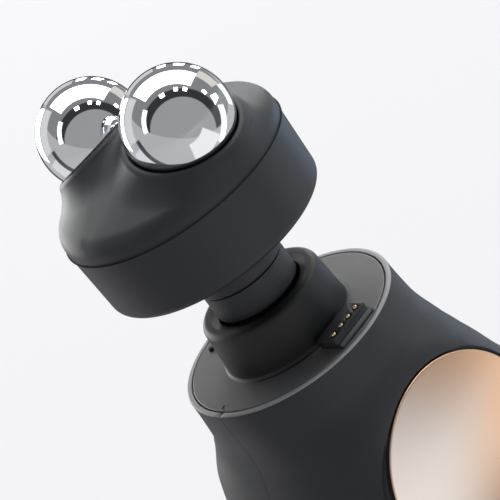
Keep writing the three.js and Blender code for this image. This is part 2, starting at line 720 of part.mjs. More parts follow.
/** Motor, its shaft, the crank disc with its counterweight, and the crank pin. */
function motor() {
  const back = chassisBack + MOTOR_LENGTH;
  const far = CRANK_Y + CRANK_T;
  const shaftStart = CRANK_Y + CRANK_FACE_T;
  const shaftEnd = back - MOTOR_SHAFT_INSET;
  const can = crossBar(MOTOR_R, 0, MOTOR_Z, chassisBack, back, 32)
    .add(crossBar(MOTOR_NOSE_R, 0, MOTOR_Z, far + FIT, back - CUT, 20))
    .subtract(crossBar(MOTOR_SHAFT_R + FIT, 0, MOTOR_Z, far, shaftEnd + FIT, 12));
  add(massager, "motor_can", can, steel);
  add(massager, "motor_shaft", crossBar(MOTOR_SHAFT_R, 0, MOTOR_Z, shaftStart, shaftEnd, 12), steel);
  const reach = CRANK_R + CUT;
  const pinSide = block([0, -CUT, MOTOR_Z - reach], [reach, far + CUT, MOTOR_Z + reach]);
  const disc = crossBar(CRANK_R, 0, MOTOR_Z, CRANK_Y, far, 32).subtract(pinSide)
    .add(crossBar(CRANK_HUB_R, 0, MOTOR_Z, CRANK_Y, far, 24))
    .subtract(crossBar(MOTOR_SHAFT_R + FIT, 0, MOTOR_Z, shaftStart, far + CUT, 12))
    .subtract(crossBar(CRANK_PIN_R + FIT, STROKE, MOTOR_Z, CRANK_Y - CUT, CRANK_Y + CRANK_PIN_DEPTH, 12));
  add(massager, "crank_disc", disc, steel);
  add(massager, "crank_pin", crossBar(
    CRANK_PIN_R, STROKE, MOTOR_Z, CRANK_Y - CRANK_PIN_PROUD, CRANK_Y + CRANK_PIN_DEPTH, 12), steel);
}

/** Connecting rod between the crank pin and the wrist pin. */
function connectingRod() {
  const foot = new THREE.Vector2(STROKE, MOTOR_Z);
  const top = new THREE.Vector2(0, WRIST_Z);
  const near = -ROD_T / 2;
  const far = ROD_T / 2;
  const along = top.clone().sub(foot);
  const side = new THREE.Vector2(along.y, -along.x).normalize().multiplyScalar(ROD_WAIST / 2);
  const waist = new THREE.Shape([
    foot.clone().add(side), top.clone().add(side), top.clone().sub(side), foot.clone().sub(side),
  ].map((p) => new THREE.Vector2(p.x, -p.y)));
  const rod = crossBar(ROD_EYE_R, foot.x, foot.y, near, far, 20)
    .add(crossBar(ROD_SMALL_R, top.x, top.y, near, far, 20))
    .add(backSlab(waist, near, far))
    .subtract(crossBar(CRANK_PIN_R + FIT, foot.x, foot.y, near - CUT, far + CUT))
    .subtract(crossBar(WRIST_R + FIT, top.x, top.y, near - CUT, far + CUT));
  add(massager, "connecting_rod", rod, steel);
}

/** Percussion arm: shaft with a forked foot, wrist pin, and the cap that carries the head. */
function arm() {
  const spigotTop = STEM_TOP + SPIGOT_H;
  const shaftTop = spigotTop - SPIGOT_ROOF;
  const forkTop = SHAFT_LOW + FORK_H;
  const shaft = bar(SHAFT_R, SHAFT_LOW, shaftTop - FIT)
    .subtract(block([-SHAFT_R - CUT, -FORK_GAP / 2, SHAFT_LOW - CUT], [SHAFT_R + CUT, FORK_GAP / 2, forkTop]))
    .subtract(crossBar(WRIST_R + FIT, 0, WRIST_Z, -SHAFT_R - CUT, SHAFT_R + CUT));
  add(massager, "arm_shaft", shaft, steel);
  add(massager, "wrist_pin", crossBar(WRIST_R, 0, WRIST_Z, -SHAFT_R + FIT, SHAFT_R - FIT), steel);
  const edge = [0, 45, 90].map((degrees) => {
    const angle = THREE.MathUtils.degToRad(degrees);
    return [
      STEM_R - STEM_ROUND + STEM_ROUND * Math.sin(angle), STEM_Z + STEM_ROUND - STEM_ROUND * Math.cos(angle),
    ];
  });
  add(massager, "arm_cap", turned([
    [SHAFT_R + FIT, STEM_Z], ...edge, [STEM_R, STEM_TOP], [SPIGOT_R, STEM_TOP], [SPIGOT_R, spigotTop - FIT],
    [SPIGOT_R - FIT, spigotTop], [0, spigotTop], [0, shaftTop], [SHAFT_R + FIT, shaftTop],
  ], 28), softBlack);
}

/** Battery cell across the body and the tray that holds it up. */
function battery() {
  const half = CELL_LENGTH / 2;
  const lying = (body) => placed(body, [1, 0, 0], [0, CELL_Y, CELL_Z]);
  const cap = bar(CELL_CAP_R, 0, half + CELL_CAP_T, 16);
  add(massager, "battery_cell", lying(bar(CELL_R, -half, half, 32).add(cap)), cellWrap);
  const depth = CELL_R - TRAY_SIDE;
  const cradle = block([-TRAY_HALF, CELL_Y - depth, TRAY_LOW], [TRAY_HALF, CELL_Y + depth, TRAY_TOP]);
  const leg = block([-TRAY_LEG_HALF, CELL_Y - TRAY_LEG_DEPTH, cavityLow],
    [TRAY_LEG_HALF, CELL_Y + TRAY_LEG_DEPTH, TRAY_TOP]);
  add(massager, "battery_tray", cradle.add(leg).subtract(lying(bar(CELL_R + FIT, -half, half, 32))), nylon);
}

/** Main board with the display and the keypad strip on its outer face. */
function mainBoard() {
  let board = backSlab(backOutline(BOARD_HALF, BOARD_LOW, BOARD_TOP, 1.5), BOARD_Y, BOARD_Y + BOARD_T, 2);
  const face = BOARD_Y + BOARD_T;
  boardScrewSpots.forEach(([x, z], i) => {
    board = board.subtract(crossBar(BOARD_SCREW_R + FIT, x, z, BOARD_Y - CUT, face + CUT, 10));
    const screw = crossBar(BOARD_HEAD_R, x, z, BOARD_Y - BOARD_HEAD_T, BOARD_Y, 10)
      .add(crossBar(BOARD_SCREW_R, x, z, BOARD_Y - BOARD_HEAD_T / 2, face + BOARD_SCREW_BITE, 10));
    add(massager, `board_screw_${i + 1}`, screw, steel);
  });
  add(massager, "main_board", board, boardGreen);
  const opening = WINDOW_HALF - WINDOW_LIP - FIT;
  add(massager, "display_module", block([-opening, face, WINDOW_LOW + WINDOW_LIP + FIT],
    [opening, PANEL_FLOOR - FIT, WINDOW_TOP - WINDOW_LIP - FIT]), glossBlack);
  add(massager, "keypad_strip", block([-KEYPAD_HALF, face, buttonHeights.at(-1) - KEYPAD_HALF],
    [KEYPAD_HALF, face + KEYPAD_T, buttonHeights[0] + KEYPAD_HALF]), nylon);
}

/** Control panel, display window and four sprung buttons. */
function controls() {
  const face = PANEL_FLOOR + PANEL_T;
  const edge = backOutline(PANEL_HALF - FIT, PANEL_LOW + FIT, PANEL_TOP - FIT, PANEL_CORNER - FIT);
  let panel = backSlab(edge, PANEL_FLOOR, face, 4);
  panel = panel.subtract(backSlab(backOutline(WINDOW_HALF + FIT, WINDOW_LOW - FIT, WINDOW_TOP + FIT,
    WINDOW_CORNER + FIT), PANEL_FLOOR - CUT, face + CUT, 2));
  add(massager, "display_window", backSlab(
    backOutline(WINDOW_HALF, WINDOW_LOW, WINDOW_TOP, WINDOW_CORNER), PANEL_FLOOR, face, 2), glossBlack);
  const capLow = PANEL_FLOOR + BUTTON_TRAVEL + FIT / 3;
  const clipTop = INNER_BACK - FIT / 2;
  buttonHeights.forEach((z, i) => {
    panel = panel.subtract(crossBar(BUTTON_R + FIT, 0, z, PANEL_FLOOR - CUT, face + CUT, 14));
    const top = face + BUTTON_PROUD;
    const button = turned([
      [0, clipTop - BUTTON_CLIP_T], [BUTTON_CLIP_R, clipTop - BUTTON_CLIP_T], [BUTTON_CLIP_R, clipTop],
      [BUTTON_STEM_R, clipTop], [BUTTON_STEM_R, capLow], [BUTTON_R, capLow], [BUTTON_R, top - BUTTON_CROWN],
      [BUTTON_R - BUTTON_CROWN, top], [0, top],
    ], 14);
    add(massager, BUTTON_NAMES[i], placed(button, [0, 1, 0], [0, 0, z]), softBlack);
  });
  add(massager, "control_panel", panel, glossBlack);
}

/** Charging socket with its tongue, and the small board under it. */
function chargePort() {
  const bore = PORT_HALF - PORT_WALL;
  const shell = block([-PORT_HALF, PORT_IN, portLow], [PORT_HALF, PORT_OUT, portTop])
    .subtract(block([-bore, PORT_IN + CUT, portLow + PORT_WALL], [bore, PORT_OUT + CUT, portTop - PORT_WALL]))
    .add(block([-TONGUE_HALF, PORT_IN + CUT / 2, PORT_Z - TONGUE_T / 2],
      [TONGUE_HALF, PORT_OUT - CUT, PORT_Z + TONGUE_T / 2]));
  add(massager, "charge_port", shell, steel);
  add(massager, "charge_board", block([-PORT_BOARD_HALF, PORT_BOARD_IN, portLow - PORT_BOARD_T],
    [PORT_BOARD_HALF, PORT_IN + CUT, portLow]), boardGreen);
}

/** Soft foot that the body stands on. */
function foot() {
  add(massager, "base_foot", footSolid(0, 0, FOOT_T), rubber);
}

/** Radius of the head's wall at a height. */
function headWall(z) {
  const share = (z - HEAD_Z) / (HEAD_SHOULDER_Z - HEAD_Z);
  return HEAD_LOW_R + (HEAD_HIGH_R - HEAD_LOW_R) * Math.min(share, 1);
}

const ballAxis = (side) => [0, side * Math.sin(BALL_TILT), Math.cos(BALL_TILT)];
const ballCentre = (side) => [0, side * BALL_Y, BALL_Z];
const collarFoot = -RIM_DROP - COLLAR_H; // along a ball's axis, from its middle

/** Points round a circle about an axis that leans by a tilt from +Z towards +Y. */
function circle(centre, tilt, radius, count) {
  return Array.from({ length: count }, (_, i) => {
    const angle = (2 * Math.PI * i) / count;
    const across = radius * Math.sin(angle);
    return new THREE.Vector3(radius * Math.cos(angle), across * Math.cos(tilt), -across * Math.sin(tilt))
      .add(centre);
  });
}

/** The head cover's main form, drawn in by an inset: a skin pulled over the drum and both collars. */
function coverTent(inset, low, sides) {
  const shoulder = HEAD_SHOULDER_R - inset;
  const points = circle(new THREE.Vector3(0, 0, low), 0, headWall(low) - inset, sides);
  for (const degrees of [0, 25, 50, 75]) {
    const angle = THREE.MathUtils.degToRad(degrees);
    const radius = HEAD_HIGH_R - HEAD_SHOULDER_R + shoulder * Math.cos(angle);
    points.push(...circle(
      new THREE.Vector3(0, 0, HEAD_SHOULDER_Z + shoulder * Math.sin(angle)), 0, radius, sides));
  }
  for (const side of [-1, 1]) {
    const centre = new THREE.Vector3(...ballAxis(side)).multiplyScalar(collarFoot - inset)
      .add(new THREE.Vector3(...ballCentre(side)));
    points.push(...circle(centre, side * BALL_TILT, COLLAR_R - COLLAR_ROUND / 2 - inset, CAVITY_SIDES));
  }
  return solid(new ConvexGeometry(points));
}

/** Head cover with its two collars and sockets, hollow inside, with a lip that fits into the skirt. */
function headCover(group) {
  const low = HEAD_SEAM_Z + FIT / 2;
  const both = (build) => build(-1).add(build(1));
  const atBall = (side, body) => placed(body, ballAxis(side), ballCentre(side));
  const collars = both((side) => atBall(side, turned([
    [0, collarFoot - COLLAR_ROOT], [COLLAR_FOOT_R, collarFoot - COLLAR_ROOT], [COLLAR_FOOT_R, collarFoot],
    [COLLAR_R, -RIM_DROP - COLLAR_ROUND], [COLLAR_R - COLLAR_ROUND, -RIM_DROP], [0, -RIM_DROP],
  ], 28)));
  const sockets = both((side) => ball(side, BALL_R + FIT, CAVITY_SIDES, 12));
  const walls = both((side) => ball(side, BALL_R + FIT + SOCKET_WALL, 14, 9));
  const wells = both((side) => atBall(side,
    bar(SEAL_R + FIT, -SEAL_DEPTH - FIT, 0, 16).add(bar(STUD_R + FIT, -STUD_END, 0, 12))));
  const inside = coverTent(HEAD_WALL, low, CAVITY_SIDES).subtract(walls)
    .add(bar(headWall(low) - HEAD_WALL, low - CUT, low + CUT / 2, HEAD_SIDES));
  const lipOuter = headWall(low) - HEAD_WALL - FIT;
  const lipInner = lipOuter - LIP_T;
  const lipRoot = lipOuter + HEAD_WALL / 2;
  const lip = turned([
    [lipInner, low - LIP_H], [lipOuter, low - LIP_H], [lipOuter, low], [lipRoot, low],
    [lipRoot, low + LIP_T], [lipInner, low + LIP_T],
  ], HEAD_SIDES);
  const cover = coverTent(0, low, HEAD_SIDES).add(collars).subtract(inside).add(lip)
    .subtract(sockets).subtract(wells);
  add(group, "head_cover", cover, softBlack);
}

/** A ball of a radius at one ball's place. */
function ball(side, radius, across = 24, down = 14) {
  const geometry = new THREE.SphereGeometry(radius, across, down).rotateX(Math.PI / 2);
  return placed(solid(geometry), ballAxis(side), ballCentre(side));
}

/** Ball electrodes, each hollow and open at its stud, with its seal and its nut. */
function electrodes(group) {
  for (const side of [-1, 1]) {
    const end = side < 0 ? "front" : "rear";
    const at = (body) => placed(body, ballAxis(side), ballCentre(side));
    const stud = at(bar(STUD_R, -STUD_END, -BALL_R + BALL_WALL * 1.5, 16));
    const vent = at(bar(STUD_R - BALL_WALL / 2, -STUD_END - CUT, 0, 12));
    add(group, `electrode_ball_${end}`,
      ball(side, BALL_R).subtract(ball(side, BALL_R - BALL_WALL, 12, 8)).add(stud).subtract(vent), chrome);
    const hole = STUD_R + FIT;
    const cup = (r) => -Math.sqrt((BALL_R + FIT) ** 2 - r * r);
    add(group, `ball_seal_${end}`, at(turned([
      [hole, cup(hole)], [hole, -SEAL_DEPTH], [SEAL_R, -SEAL_DEPTH], [SEAL_R, cup(SEAL_R)],
    ], 20)), rubber);
    const nutTop = -BALL_R - FIT - SOCKET_WALL;
    add(group, `electrode_nut_${end}`, at(bar(NUT_R, nutTop - NUT_T, nutTop, 6)
      .subtract(bar(hole, nutTop - NUT_T - CUT, nutTop + CUT, 16))), brass);
  }
}

/** Lower half of the head: the skirt with its posts, and the boss that sits on the arm. */
function headLower(group) {
  const top = HEAD_SEAM_Z - FIT / 2;
  const floor = HEAD_Z + HEAD_BOTTOM_T;
  const round = [0, 45, 90].map((degrees) => {
    const angle = THREE.MathUtils.degToRad(degrees);
    const r = HEAD_LOW_ROUND;
    return [HEAD_LOW_R - r + r * Math.sin(angle), HEAD_Z + r - r * Math.cos(angle)];
  });
  const hole = BOSS_HEAD_R + FIT;
  let skirt = turned([
    [hole, HEAD_Z], ...round, [headWall(top), top], [headWall(top) - HEAD_WALL, top],
    [HEAD_LOW_R - HEAD_WALL, floor], [hole, floor],
  ], HEAD_SIDES);
  const postTop = floor + HEAD_POST_H;
  const boardTop = postTop + HEAD_BOARD_T;
  let board = bar(HEAD_BOARD_R, postTop, boardTop, 24);
  for (let i = 0; i < 3; i += 1) {
    const angle = (2 * Math.PI * i) / 3;
    const [x, y] = [HEAD_POST_PCD * Math.cos(angle), HEAD_POST_PCD * Math.sin(angle)];
    const depth = HEAD_POST_H - FIT;
    skirt = skirt.add(moved(bar(HEAD_POST_R, floor - CUT / 2, postTop, 14), x, y))
      .subtract(moved(bar(HEAD_SCREW_R + FIT, postTop - depth, postTop + CUT, 10), x, y));
    board = board.subtract(moved(bar(HEAD_SCREW_R + FIT, postTop - CUT, boardTop + CUT, 10), x, y));
    const screw = bar(HEAD_SCREW_HEAD_R, boardTop, boardTop + HEAD_SCREW_HEAD_T, 12)
      .add(bar(HEAD_SCREW_R, postTop - depth + FIT, boardTop + HEAD_SCREW_HEAD_T / 2, 10));
    add(group, `head_screw_${i + 1}`, moved(screw, x, y), steel);
  }
  add(group, "head_skirt", skirt, softBlack);
  add(group, "head_board", board, boardGreen);
  const low = STEM_TOP + FIT;
  const roof = STEM_TOP + SPIGOT_H + FIT;
  add(group, "head_boss", turned([
    [SPIGOT_R + FIT, low], [BOSS_HEAD_R - BOSS_CHAMFER, low], [BOSS_HEAD_R, low + BOSS_CHAMFER],
    [BOSS_HEAD_R, floor], [FLANGE_R, floor], [FLANGE_R, floor + FLANGE_T], [0, floor + FLANGE_T],
    [0, roof], [SPIGOT_R + FIT, roof],
  ], 28), softBlack);
}

shells();
frontDisc();
caseScrews();
platform();
contacts();
neck();
chassis();
motor();
connectingRod();
arm();
battery();
mainBoard();
controls();
chargePort();
foot();

const head = new THREE.Group();
massager.add(head);
headCover(head);
headLower(head);
electrodes(head);

export default massager;
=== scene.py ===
import json
import math

import bmesh
import bpy
import numpy as np
from bpy.props import FloatProperty, FloatVectorProperty, IntProperty, PointerProperty
from mathutils import Matrix, Vector


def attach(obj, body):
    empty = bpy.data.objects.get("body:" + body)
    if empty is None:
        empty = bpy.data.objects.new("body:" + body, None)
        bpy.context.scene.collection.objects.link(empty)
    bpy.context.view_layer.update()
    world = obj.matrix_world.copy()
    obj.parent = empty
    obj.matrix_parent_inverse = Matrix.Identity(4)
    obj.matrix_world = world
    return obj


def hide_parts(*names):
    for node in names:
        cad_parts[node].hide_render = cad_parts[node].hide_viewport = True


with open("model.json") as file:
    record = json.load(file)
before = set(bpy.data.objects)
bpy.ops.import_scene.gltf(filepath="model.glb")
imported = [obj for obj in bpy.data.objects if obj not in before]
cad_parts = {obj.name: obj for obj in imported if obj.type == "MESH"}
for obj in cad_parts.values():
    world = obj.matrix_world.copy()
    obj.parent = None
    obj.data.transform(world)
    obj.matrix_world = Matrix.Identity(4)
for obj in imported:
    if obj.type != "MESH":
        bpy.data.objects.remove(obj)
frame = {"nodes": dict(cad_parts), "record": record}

bl_info = {
    "name": "Facial massager",
    "version": (1, 0, 0),
    "blender": (4, 5, 0),
    "location": "View3D > Sidebar > Massager",
    "description": "Surfaces, finishes and a studio for a hand-held facial massager",
    "category": "Add Mesh",
}

MM = 0.001


def table(rows):
    """Rows of [share of a height, millimetres] with the lengths in metres."""
    return np.array(rows, float) * [1.0, MM]


# Body: half sizes at shares of the height, as in the solids
BODY_H = 80 * MM
PLATFORM_R = 24 * MM
SHELL_Z = 0.5 * MM
HALF_WIDTH = table([
    [0, 26], [0.05, 30.5], [0.15, 34.6], [0.3, 36.4], [0.45, 34.8], [0.575, 31.5], [0.625, 29.8],
    [0.6875, 28.2], [0.75, 26.1], [0.8125, 24.4], [0.875, 23.9], [0.9375, 24], [1, 24],
])
BACK_DEPTH = table([
    [0, 18.5], [0.05, 23.5], [0.15, 28.4], [0.25, 30.6], [0.4, 31.4], [0.575, 31.5], [0.725, 30.7],
    [0.775, 28.6], [0.8125, 26.7], [0.84375, 25.2], [0.86875, 23.9], [0.9, 23.7], [1, 24],
])
FRONT_DEPTH = table([
    [0, 19.5], [0.05, 24.5], [0.15, 29], [0.3, 32], [0.45, 33], [0.575, 33], [0.7, 30], [0.8, 28.6],
    [0.9, 24.4], [1, 24],
])
# The oval goes from one power at the platform to a squarer one over a height. The facet starts at a sine
ROUND_POWER = 2
SQUARE_POWER = 2.5
SQUARING_H = 20 * MM
FACET_BLEND = 1.5 * MM
FACET_SINE = -0.05
# Rays from a heart find the skin. Columns to the base and to the rim start within a fan
HEART = np.array([0, 0, 45]) * MM
FAN = (math.radians(64), math.radians(118))
BODY_REACH = 90 * MM
HEAD_REACH = 60 * MM
POCKET_REACH = 50 * MM
HALVINGS = 36
RAY_PARTS = 24
# Shares of a ray's way to the border where one more row keeps the shading flat
SKIN_GUARD = 0.992
COVER_GUARD = 0.985
FOOT_SHARE = 0.72
FOOT_T = 1.4 * MM
FOOT_EDGE = 0.3 * MM
FIT = 0.3 * MM
CREASE = math.radians(35)
BEVEL_FROM = math.radians(40)
# Borders, in millimetres: each shell's lap along and into the seam, and insets from the base's edge
FRONT_LAP = [(0, 0.6), (0, 1.7), (0.7, 1.8), (0.9, 2.0), (0.9, 2.8)]
BACK_LAP = [(0, 0.6), (-0.1, 1.0), (-0.3, 1.3), (-0.6, 1.5), (-0.9, 1.6)]
BASE_INSETS = [0.12, 0.3, 0.5, 0.8, 1.6]
RIM_SOFT = 0.18 * MM
GROOVE_DEPTH = 2 * MM
GROOVE_SHELF = 2.4 * MM

# Front disc and its pocket
DISC_FOOT = np.array([0, -27.2, 45]) * MM
DISC_TILT = math.radians(2.7)
DISC_T = 2 * MM
DISC_EDGE = 0.3 * MM
POCKET_DEPTH = 2.5 * MM
POCKET_LIP = 0.3 * MM
POCKET_SHELF = 8 * MM

# Control panel on the back
PANEL_HALF = 9.5 * MM
PANEL_LOW = 19.5 * MM
PANEL_TOP = 55.5 * MM
PANEL_CORNER = 4 * MM
PANEL_FLOOR = 29.6 * MM
PANEL_T = 1.1 * MM
WINDOW_HALF = 5.8 * MM
WINDOW_LOW = 46.8 * MM
WINDOW_TOP = 53.4 * MM
WINDOW_CORNER = 1.2 * MM
BUTTON_HEIGHTS = {"plus": 42.4 * MM, "mode": 36.2 * MM, "minus": 30 * MM, "power": 23.8 * MM}
PORT_HALF = 4.5 * MM
PORT_LOW = 7.1 * MM
PORT_TOP = 10.3 * MM
PORT_DEPTH = 22 * MM
PORT_CORNER = 1.5 * MM
PORT_OUT = 40 * MM
PANEL_LIP = 0.25 * MM
PANEL_SHELF = 3.2 * MM
PANEL_BEND = 0.1 * MM
PANEL_EDGE = 0.2 * MM
PANEL_BEVEL = 0.08 * MM
WINDOW_EDGE = 0.12 * MM

# Buttons: a cap with a dome, on a stem that ends in a clip (radius, place of its outer side and thickness), and
# the bead that draws a sign (half width and height). Power has an open ring and a stub, and mode has dots
BUTTON_HOLE_R = 2.9 * MM
BUTTON_R = 2.6 * MM
BUTTON_RISE = 0.6 * MM
BUTTON_ROUND = 0.1 * MM
BUTTON_STEM_R = 1 * MM
BUTTON_CLIP = (1.9 * MM, 27.45 * MM, 0.5 * MM)
DOME_R = 2.42 * MM
DOME_H = 0.12 * MM
SIGN_REACH = 1.1 * MM
SIGN_SUNK = 0.03 * MM
SIGN_BEAD = (0.17 * MM, 0.07 * MM)
SIGN_RING = (-50, 230)
SIGN_STUB = 0.75 * MM
SIGN_DOTS = (-0.8, 0, 0.8)

# Contact block: its outline in Y and Z, and the middle of its ends
BLOCK_HALF = 5.3 * MM
BLOCK_SIDE = np.array([(-15.3, 80), (-15.3, 82.2), (-20.4, 82.2), (-20.4, 81), (-21.3, 81), (-22, 80.4),
                       (-22, 80)]) * MM
BLOCK_MIDDLE = np.array([0, -18, 80.6]) * MM
BLOCK_EDGE = 0.14 * MM
PIN_PLACES = np.array([-3.75, -1.25, 1.25, 3.75]) * MM
PIN_Y = -19.3 * MM
PEG_PLACE = (5.75 * MM, 19.05 * MM)

# Turned pieces, in millimetres: the radius, height and rounding of each corner
PLATE = [(12.9, 78, 0), (22.6, 78, 0), (22.6, 80, 0.25), (12.9, 80, 0)]
PEG = [(0, 78.8, 0), (0.6, 78.8, 0), (0.6, 80.8, 0.3), (0, 80.8, 0)]
SPRUNG_PIN = [(0, 77.4, 0), (0.5, 77.4, 0), (0.5, 82.35, 0.15), (0.32, 82.6, 0.15), (0, 82.6, 0)]
PIN_HOLE = [(0, 77, 0), (0.8, 77, 0), (0.8, 84, 0), (0, 84, 0)]
NECK = [(14.2, 80.8, 0), (13.9, 85, 20), (13.4, 90.7, 1.4), (11.2, 90.7, 1.5), (9.6, 90.2, 0.2), (9.6, 83, 0),
        (8.9, 83, 0), (8.9, 76, 0), (12.6, 76, 0), (12.6, 80, 0)]
STEM = [(0, 103.8, 0), (7, 103.8, 0.3), (7, 96.8, 0), (9.3, 96.8, 0.15), (9.3, 90.3, 1), (4.3, 90.3, 0.2),
        (4.3, 101.2, 0), (0, 101.2, 0)]
BOSS = [(0, 109.36, 0), (13, 109.36, 0), (13, 107.56, 0), (9.65, 107.56, 0), (9.65, 97.1, 0.4),
        (7.3, 97.1, 0.15), (7.3, 104.1, 0), (0, 104.1, 0)]
# The neck's toe is a hollow quarter circle: the radius and height of its middle, and its own radius
TOE = (15, 80.8, 0.8)

# Head and its two balls
HEAD_Z = 105.56 * MM
HEAD_LOW_R = 24.06 * MM
HEAD_FLARE = 0.62 * MM
SHOULDER_Z = 121.8 * MM
SHOULDER_R = 4 * MM
SEAM_Z = 120.7 * MM
LIP_ROUND = 0.025 * MM
HEAD_WALL_T = 2 * MM
BOSS_HOLE = 9.95 * MM
HOLE_ROUND = 0.3 * MM
SKIRT_ROUND = 1.7 * MM
# Posts under the head's board: their circle, inner and outer radius, and height
POST_PLACE = 16 * MM
POST_R = (1.2 * MM, 2.2 * MM)
POST_H = 4.5 * MM
SUNK = 0.1 * MM
# The cover's border turns in over the skirt, and its tongue stands inside: steps in from the wall and up
LIP_PATH = [(1.2 * MM, 0), (1.7 * MM, 0), (1.7 * MM, 1.5 * MM)]
TONGUE_GAP = 2.3 * MM
TONGUE = np.array([(-1, -2.4), (0, -2.4), (0, 0), (1, 0), (1, 1), (-1, 1)]) * MM
BALL_TILT = math.radians(20)
BALL_Y = 14 * MM
BALL_Z = 133.3 * MM
STUD_R = 2.5 * MM
STUD_FOOT = -20 * MM
SOCKET_R = 11.3 * MM
# The socket's radii at its first and last row
SOCKET_SPAN = (10.84 * MM, 2.55 * MM)
MOUTH_STEPS = (0.05 * MM, 0.12 * MM)
# Each collar is a cone that widens by its flare, below a rim plane with a rounded edge
RIM_DROP = 2.4 * MM
COLLAR_R = 12.15 * MM
COLLAR_FLARE = 0.26
COLLAR_ROUND = 0.95 * MM
FILLET_RISE = 5 * MM
FILLET_LEAST = 0.02
# The tent over the head lies on a ring under each collar: its radius and height from the ball, and its tube
TENT_RING = (11.2 * MM, -6.4 * MM)
TENT_ROUND = 1.5 * MM
TENT_ROUNDS = 4
TENT_Z = 112 * MM
# The ridge between the cover's halves is drawn by rays from its own heart, closer together near the top
RIDGE_HEART = np.array([0, 0, 118]) * MM
RIDGE_EASE = 0.6
COVER_HEART = np.array([0, 0, -14]) * MM
COVER_MIDDLE = np.array([0, 0, 120]) * MM

# Finishes: where the painted highlight band on the platform's rim and the painted shade on the neck lie, and
# how the painted highlight on the disc spreads
RIM_HIGHLIGHT_R = (22.7 * MM, 22.8 * MM)
RIM_HIGHLIGHT_Z = (79.6 * MM, 79.75 * MM)
RIM_HIGHLIGHT_TOP = 80.05 * MM
NECK_R = 15.2 * MM
NECK_TOP = 91 * MM
NECK_SHADE = 0.25
BLOCK_FROM = (80.03 * MM, 80.1 * MM)
PALE_START = 0.76
PALE_ACROSS = 34
PALE_RISE = 26
PALE_MIDDLE = 8 * MM
DISC_EDGE_R = (20.7 * MM, 21.2 * MM)
# Painted edge line: the next colour is a darker tone painted on the disc's rounded edge, in place of the shaded
# gap and the light edge line there
DISC_EDGE_PAINTED_LINE = (0.70, 0.46, 0.32)

# Camera: position, and its right, up and backward directions
VIEW_AZIMUTH = math.radians(-31.03)
VIEW_RISE = math.radians(23.87)
VIEW_ROLL = math.radians(-36.93)
VIEW_DISTANCE = 445.4 * MM
FOCAL = 2245.15
FRAME_PX = 500
TARGET_PX = (286.96, 329.87)
SENSOR = 36
CLIP = (0.01, 20)

# Lamps and panels stand round a point of the neck. Lamps: name, watts, width and height, angle from the
# camera's direction, angle about it from the picture's right, and colour
AIM = np.array([0, 0, 105]) * MM
LAMP_REACH = 0.9
PANEL_REACH = 0.8
COOL = (0.72, 0.86, 1.0)
WARM = (1.0, 0.95, 0.88)
WHITE = (1.0, 1.0, 1.0)
LAMPS = [
    ("soft_box", 5.0, (1.16, 0.78), 104, 107, WHITE),
    ("left_lamp", 2.7, (0.45, 0.45), 135, 172, WHITE),
    ("back_lamp", 3.4, (0.45, 0.45), 135, 90, WHITE),
    ("right_lamp", 2.3, (0.30, 0.45), 90, 45, COOL),
    ("front_lamp", 2.4, (0.45, 0.45), 20, 0, WHITE),
]
# Panels that only reflections show: name, glow, first and last angle from the camera's direction, first and
# last angle about it, and colour
PANELS = [
    ("box_panel", 3.2, (73, 112), (71, 148), WHITE),
    ("left_panel", 5.5, (125, 156), (152, 214), WHITE),
    ("back_left_panel", 0.7, (130, 150), (116, 148), WHITE),
    ("back_panel_1", 8.0, (134, 148), (74, 81), WHITE),
    ("back_panel_2", 8.0, (134, 148), (88, 97), WHITE),
    ("back_panel_3", 8.0, (134, 148), (104, 112), WHITE),
    ("right_panel", 4.5, (84, 101), (25, 40), COOL),
    ("warm_panel", 0.8, (103, 130), (48, 71), WARM),
    ("near_left_panel", 2.2, (60, 70), (160, 200), COOL),
    ("spot_1", 7.0, (52, 60), (116, 126), WHITE),
    ("spot_2", 7.0, (57, 65), (90, 97), WHITE),
    ("spot_3", 7.0, (59, 67), (74, 81), WHITE),
    ("spot_4", 7.0, (76, 83), (46, 53), WHITE),
]
# What mirrors show beside the panels: a grey wall on the camera's side, a dark frame round it, a paler room, a
# dark back and, under a level LEVEL_TILT below the camera's direction, a pale ground. An edge is given by the
# cosines between which it fades. Bars: colour, first and last angle from the camera's direction, first and last
# angle about it
WALL_GREY = (0.36, 0.36, 0.37)
WALL_SHIFT = (0.22, -0.34)
WALL_EDGE = (0.42, 0.46)
FRAME_GREY = (0.04, 0.04, 0.045)
FRAME_EDGE = (0.10, 0.16)
ROOM_GREY = (0.26, 0.26, 0.27)
GROUND_GREY = (0.50, 0.50, 0.51)
LEVEL_TILT = math.radians(34)
LEVEL_EDGE = (-0.01, 0.02)
BACK_GREY = (0.02, 0.02, 0.022)
BACK_EDGE = (math.cos(math.radians(156)), math.cos(math.radians(142)))
BAR_SOFT = math.radians(1.5)
BARS = [
    ((0.75, 0.75, 0.76), (98, 122), (152, 205)),
    ((0.07, 0.07, 0.075), (90, 101), (205, 330)),
    ((0.75, 0.75, 0.77), (101, 128), (215, 322)),
    ((0.95, 0.95, 0.95), (50, 88), (-62, -14)),
    ((1.4, 1.4, 1.4), (89, 104), (-22, 23)),
    ((1.5, 2.0, 2.8), (124, 142), (24, 46)),
]
# On the floor the same room is painted as seen from a point over its middle, at a height
MIRROR_HEIGHT = 0.125
FLOOR_HALF = 3


# Numbers ------------------------------------------------------------------


def curve(rows, at):
    """A cubic through each row of a table that never overshoots: the slope at a row is the harmonic mean
    of the slopes on its two sides, and zero where these differ in sign."""
    x, y = rows[:, 0], rows[:, 1]
    slope = np.diff(y) / np.diff(x)
    product = slope[:-1] * slope[1:]
    total = np.where(product > 0, slope[:-1] + slope[1:], 1)
    tangent = np.concatenate([slope[:1], np.where(product > 0, 2 * product / total, 0), slope[-1:]])
    at = np.clip(at, x[0], x[-1])
    i = np.clip(np.searchsorted(x, at) - 1, 0, len(x) - 2)
    span = x[i + 1] - x[i]
    t = (at - x[i]) / span
    return (y[i] * (1 + 2 * t) * (1 - t) ** 2 + tangent[i] * span * t * (1 - t) ** 2
            + y[i + 1] * t * t * (3 - 2 * t) + tangent[i + 1] * span * t * t * (t - 1))


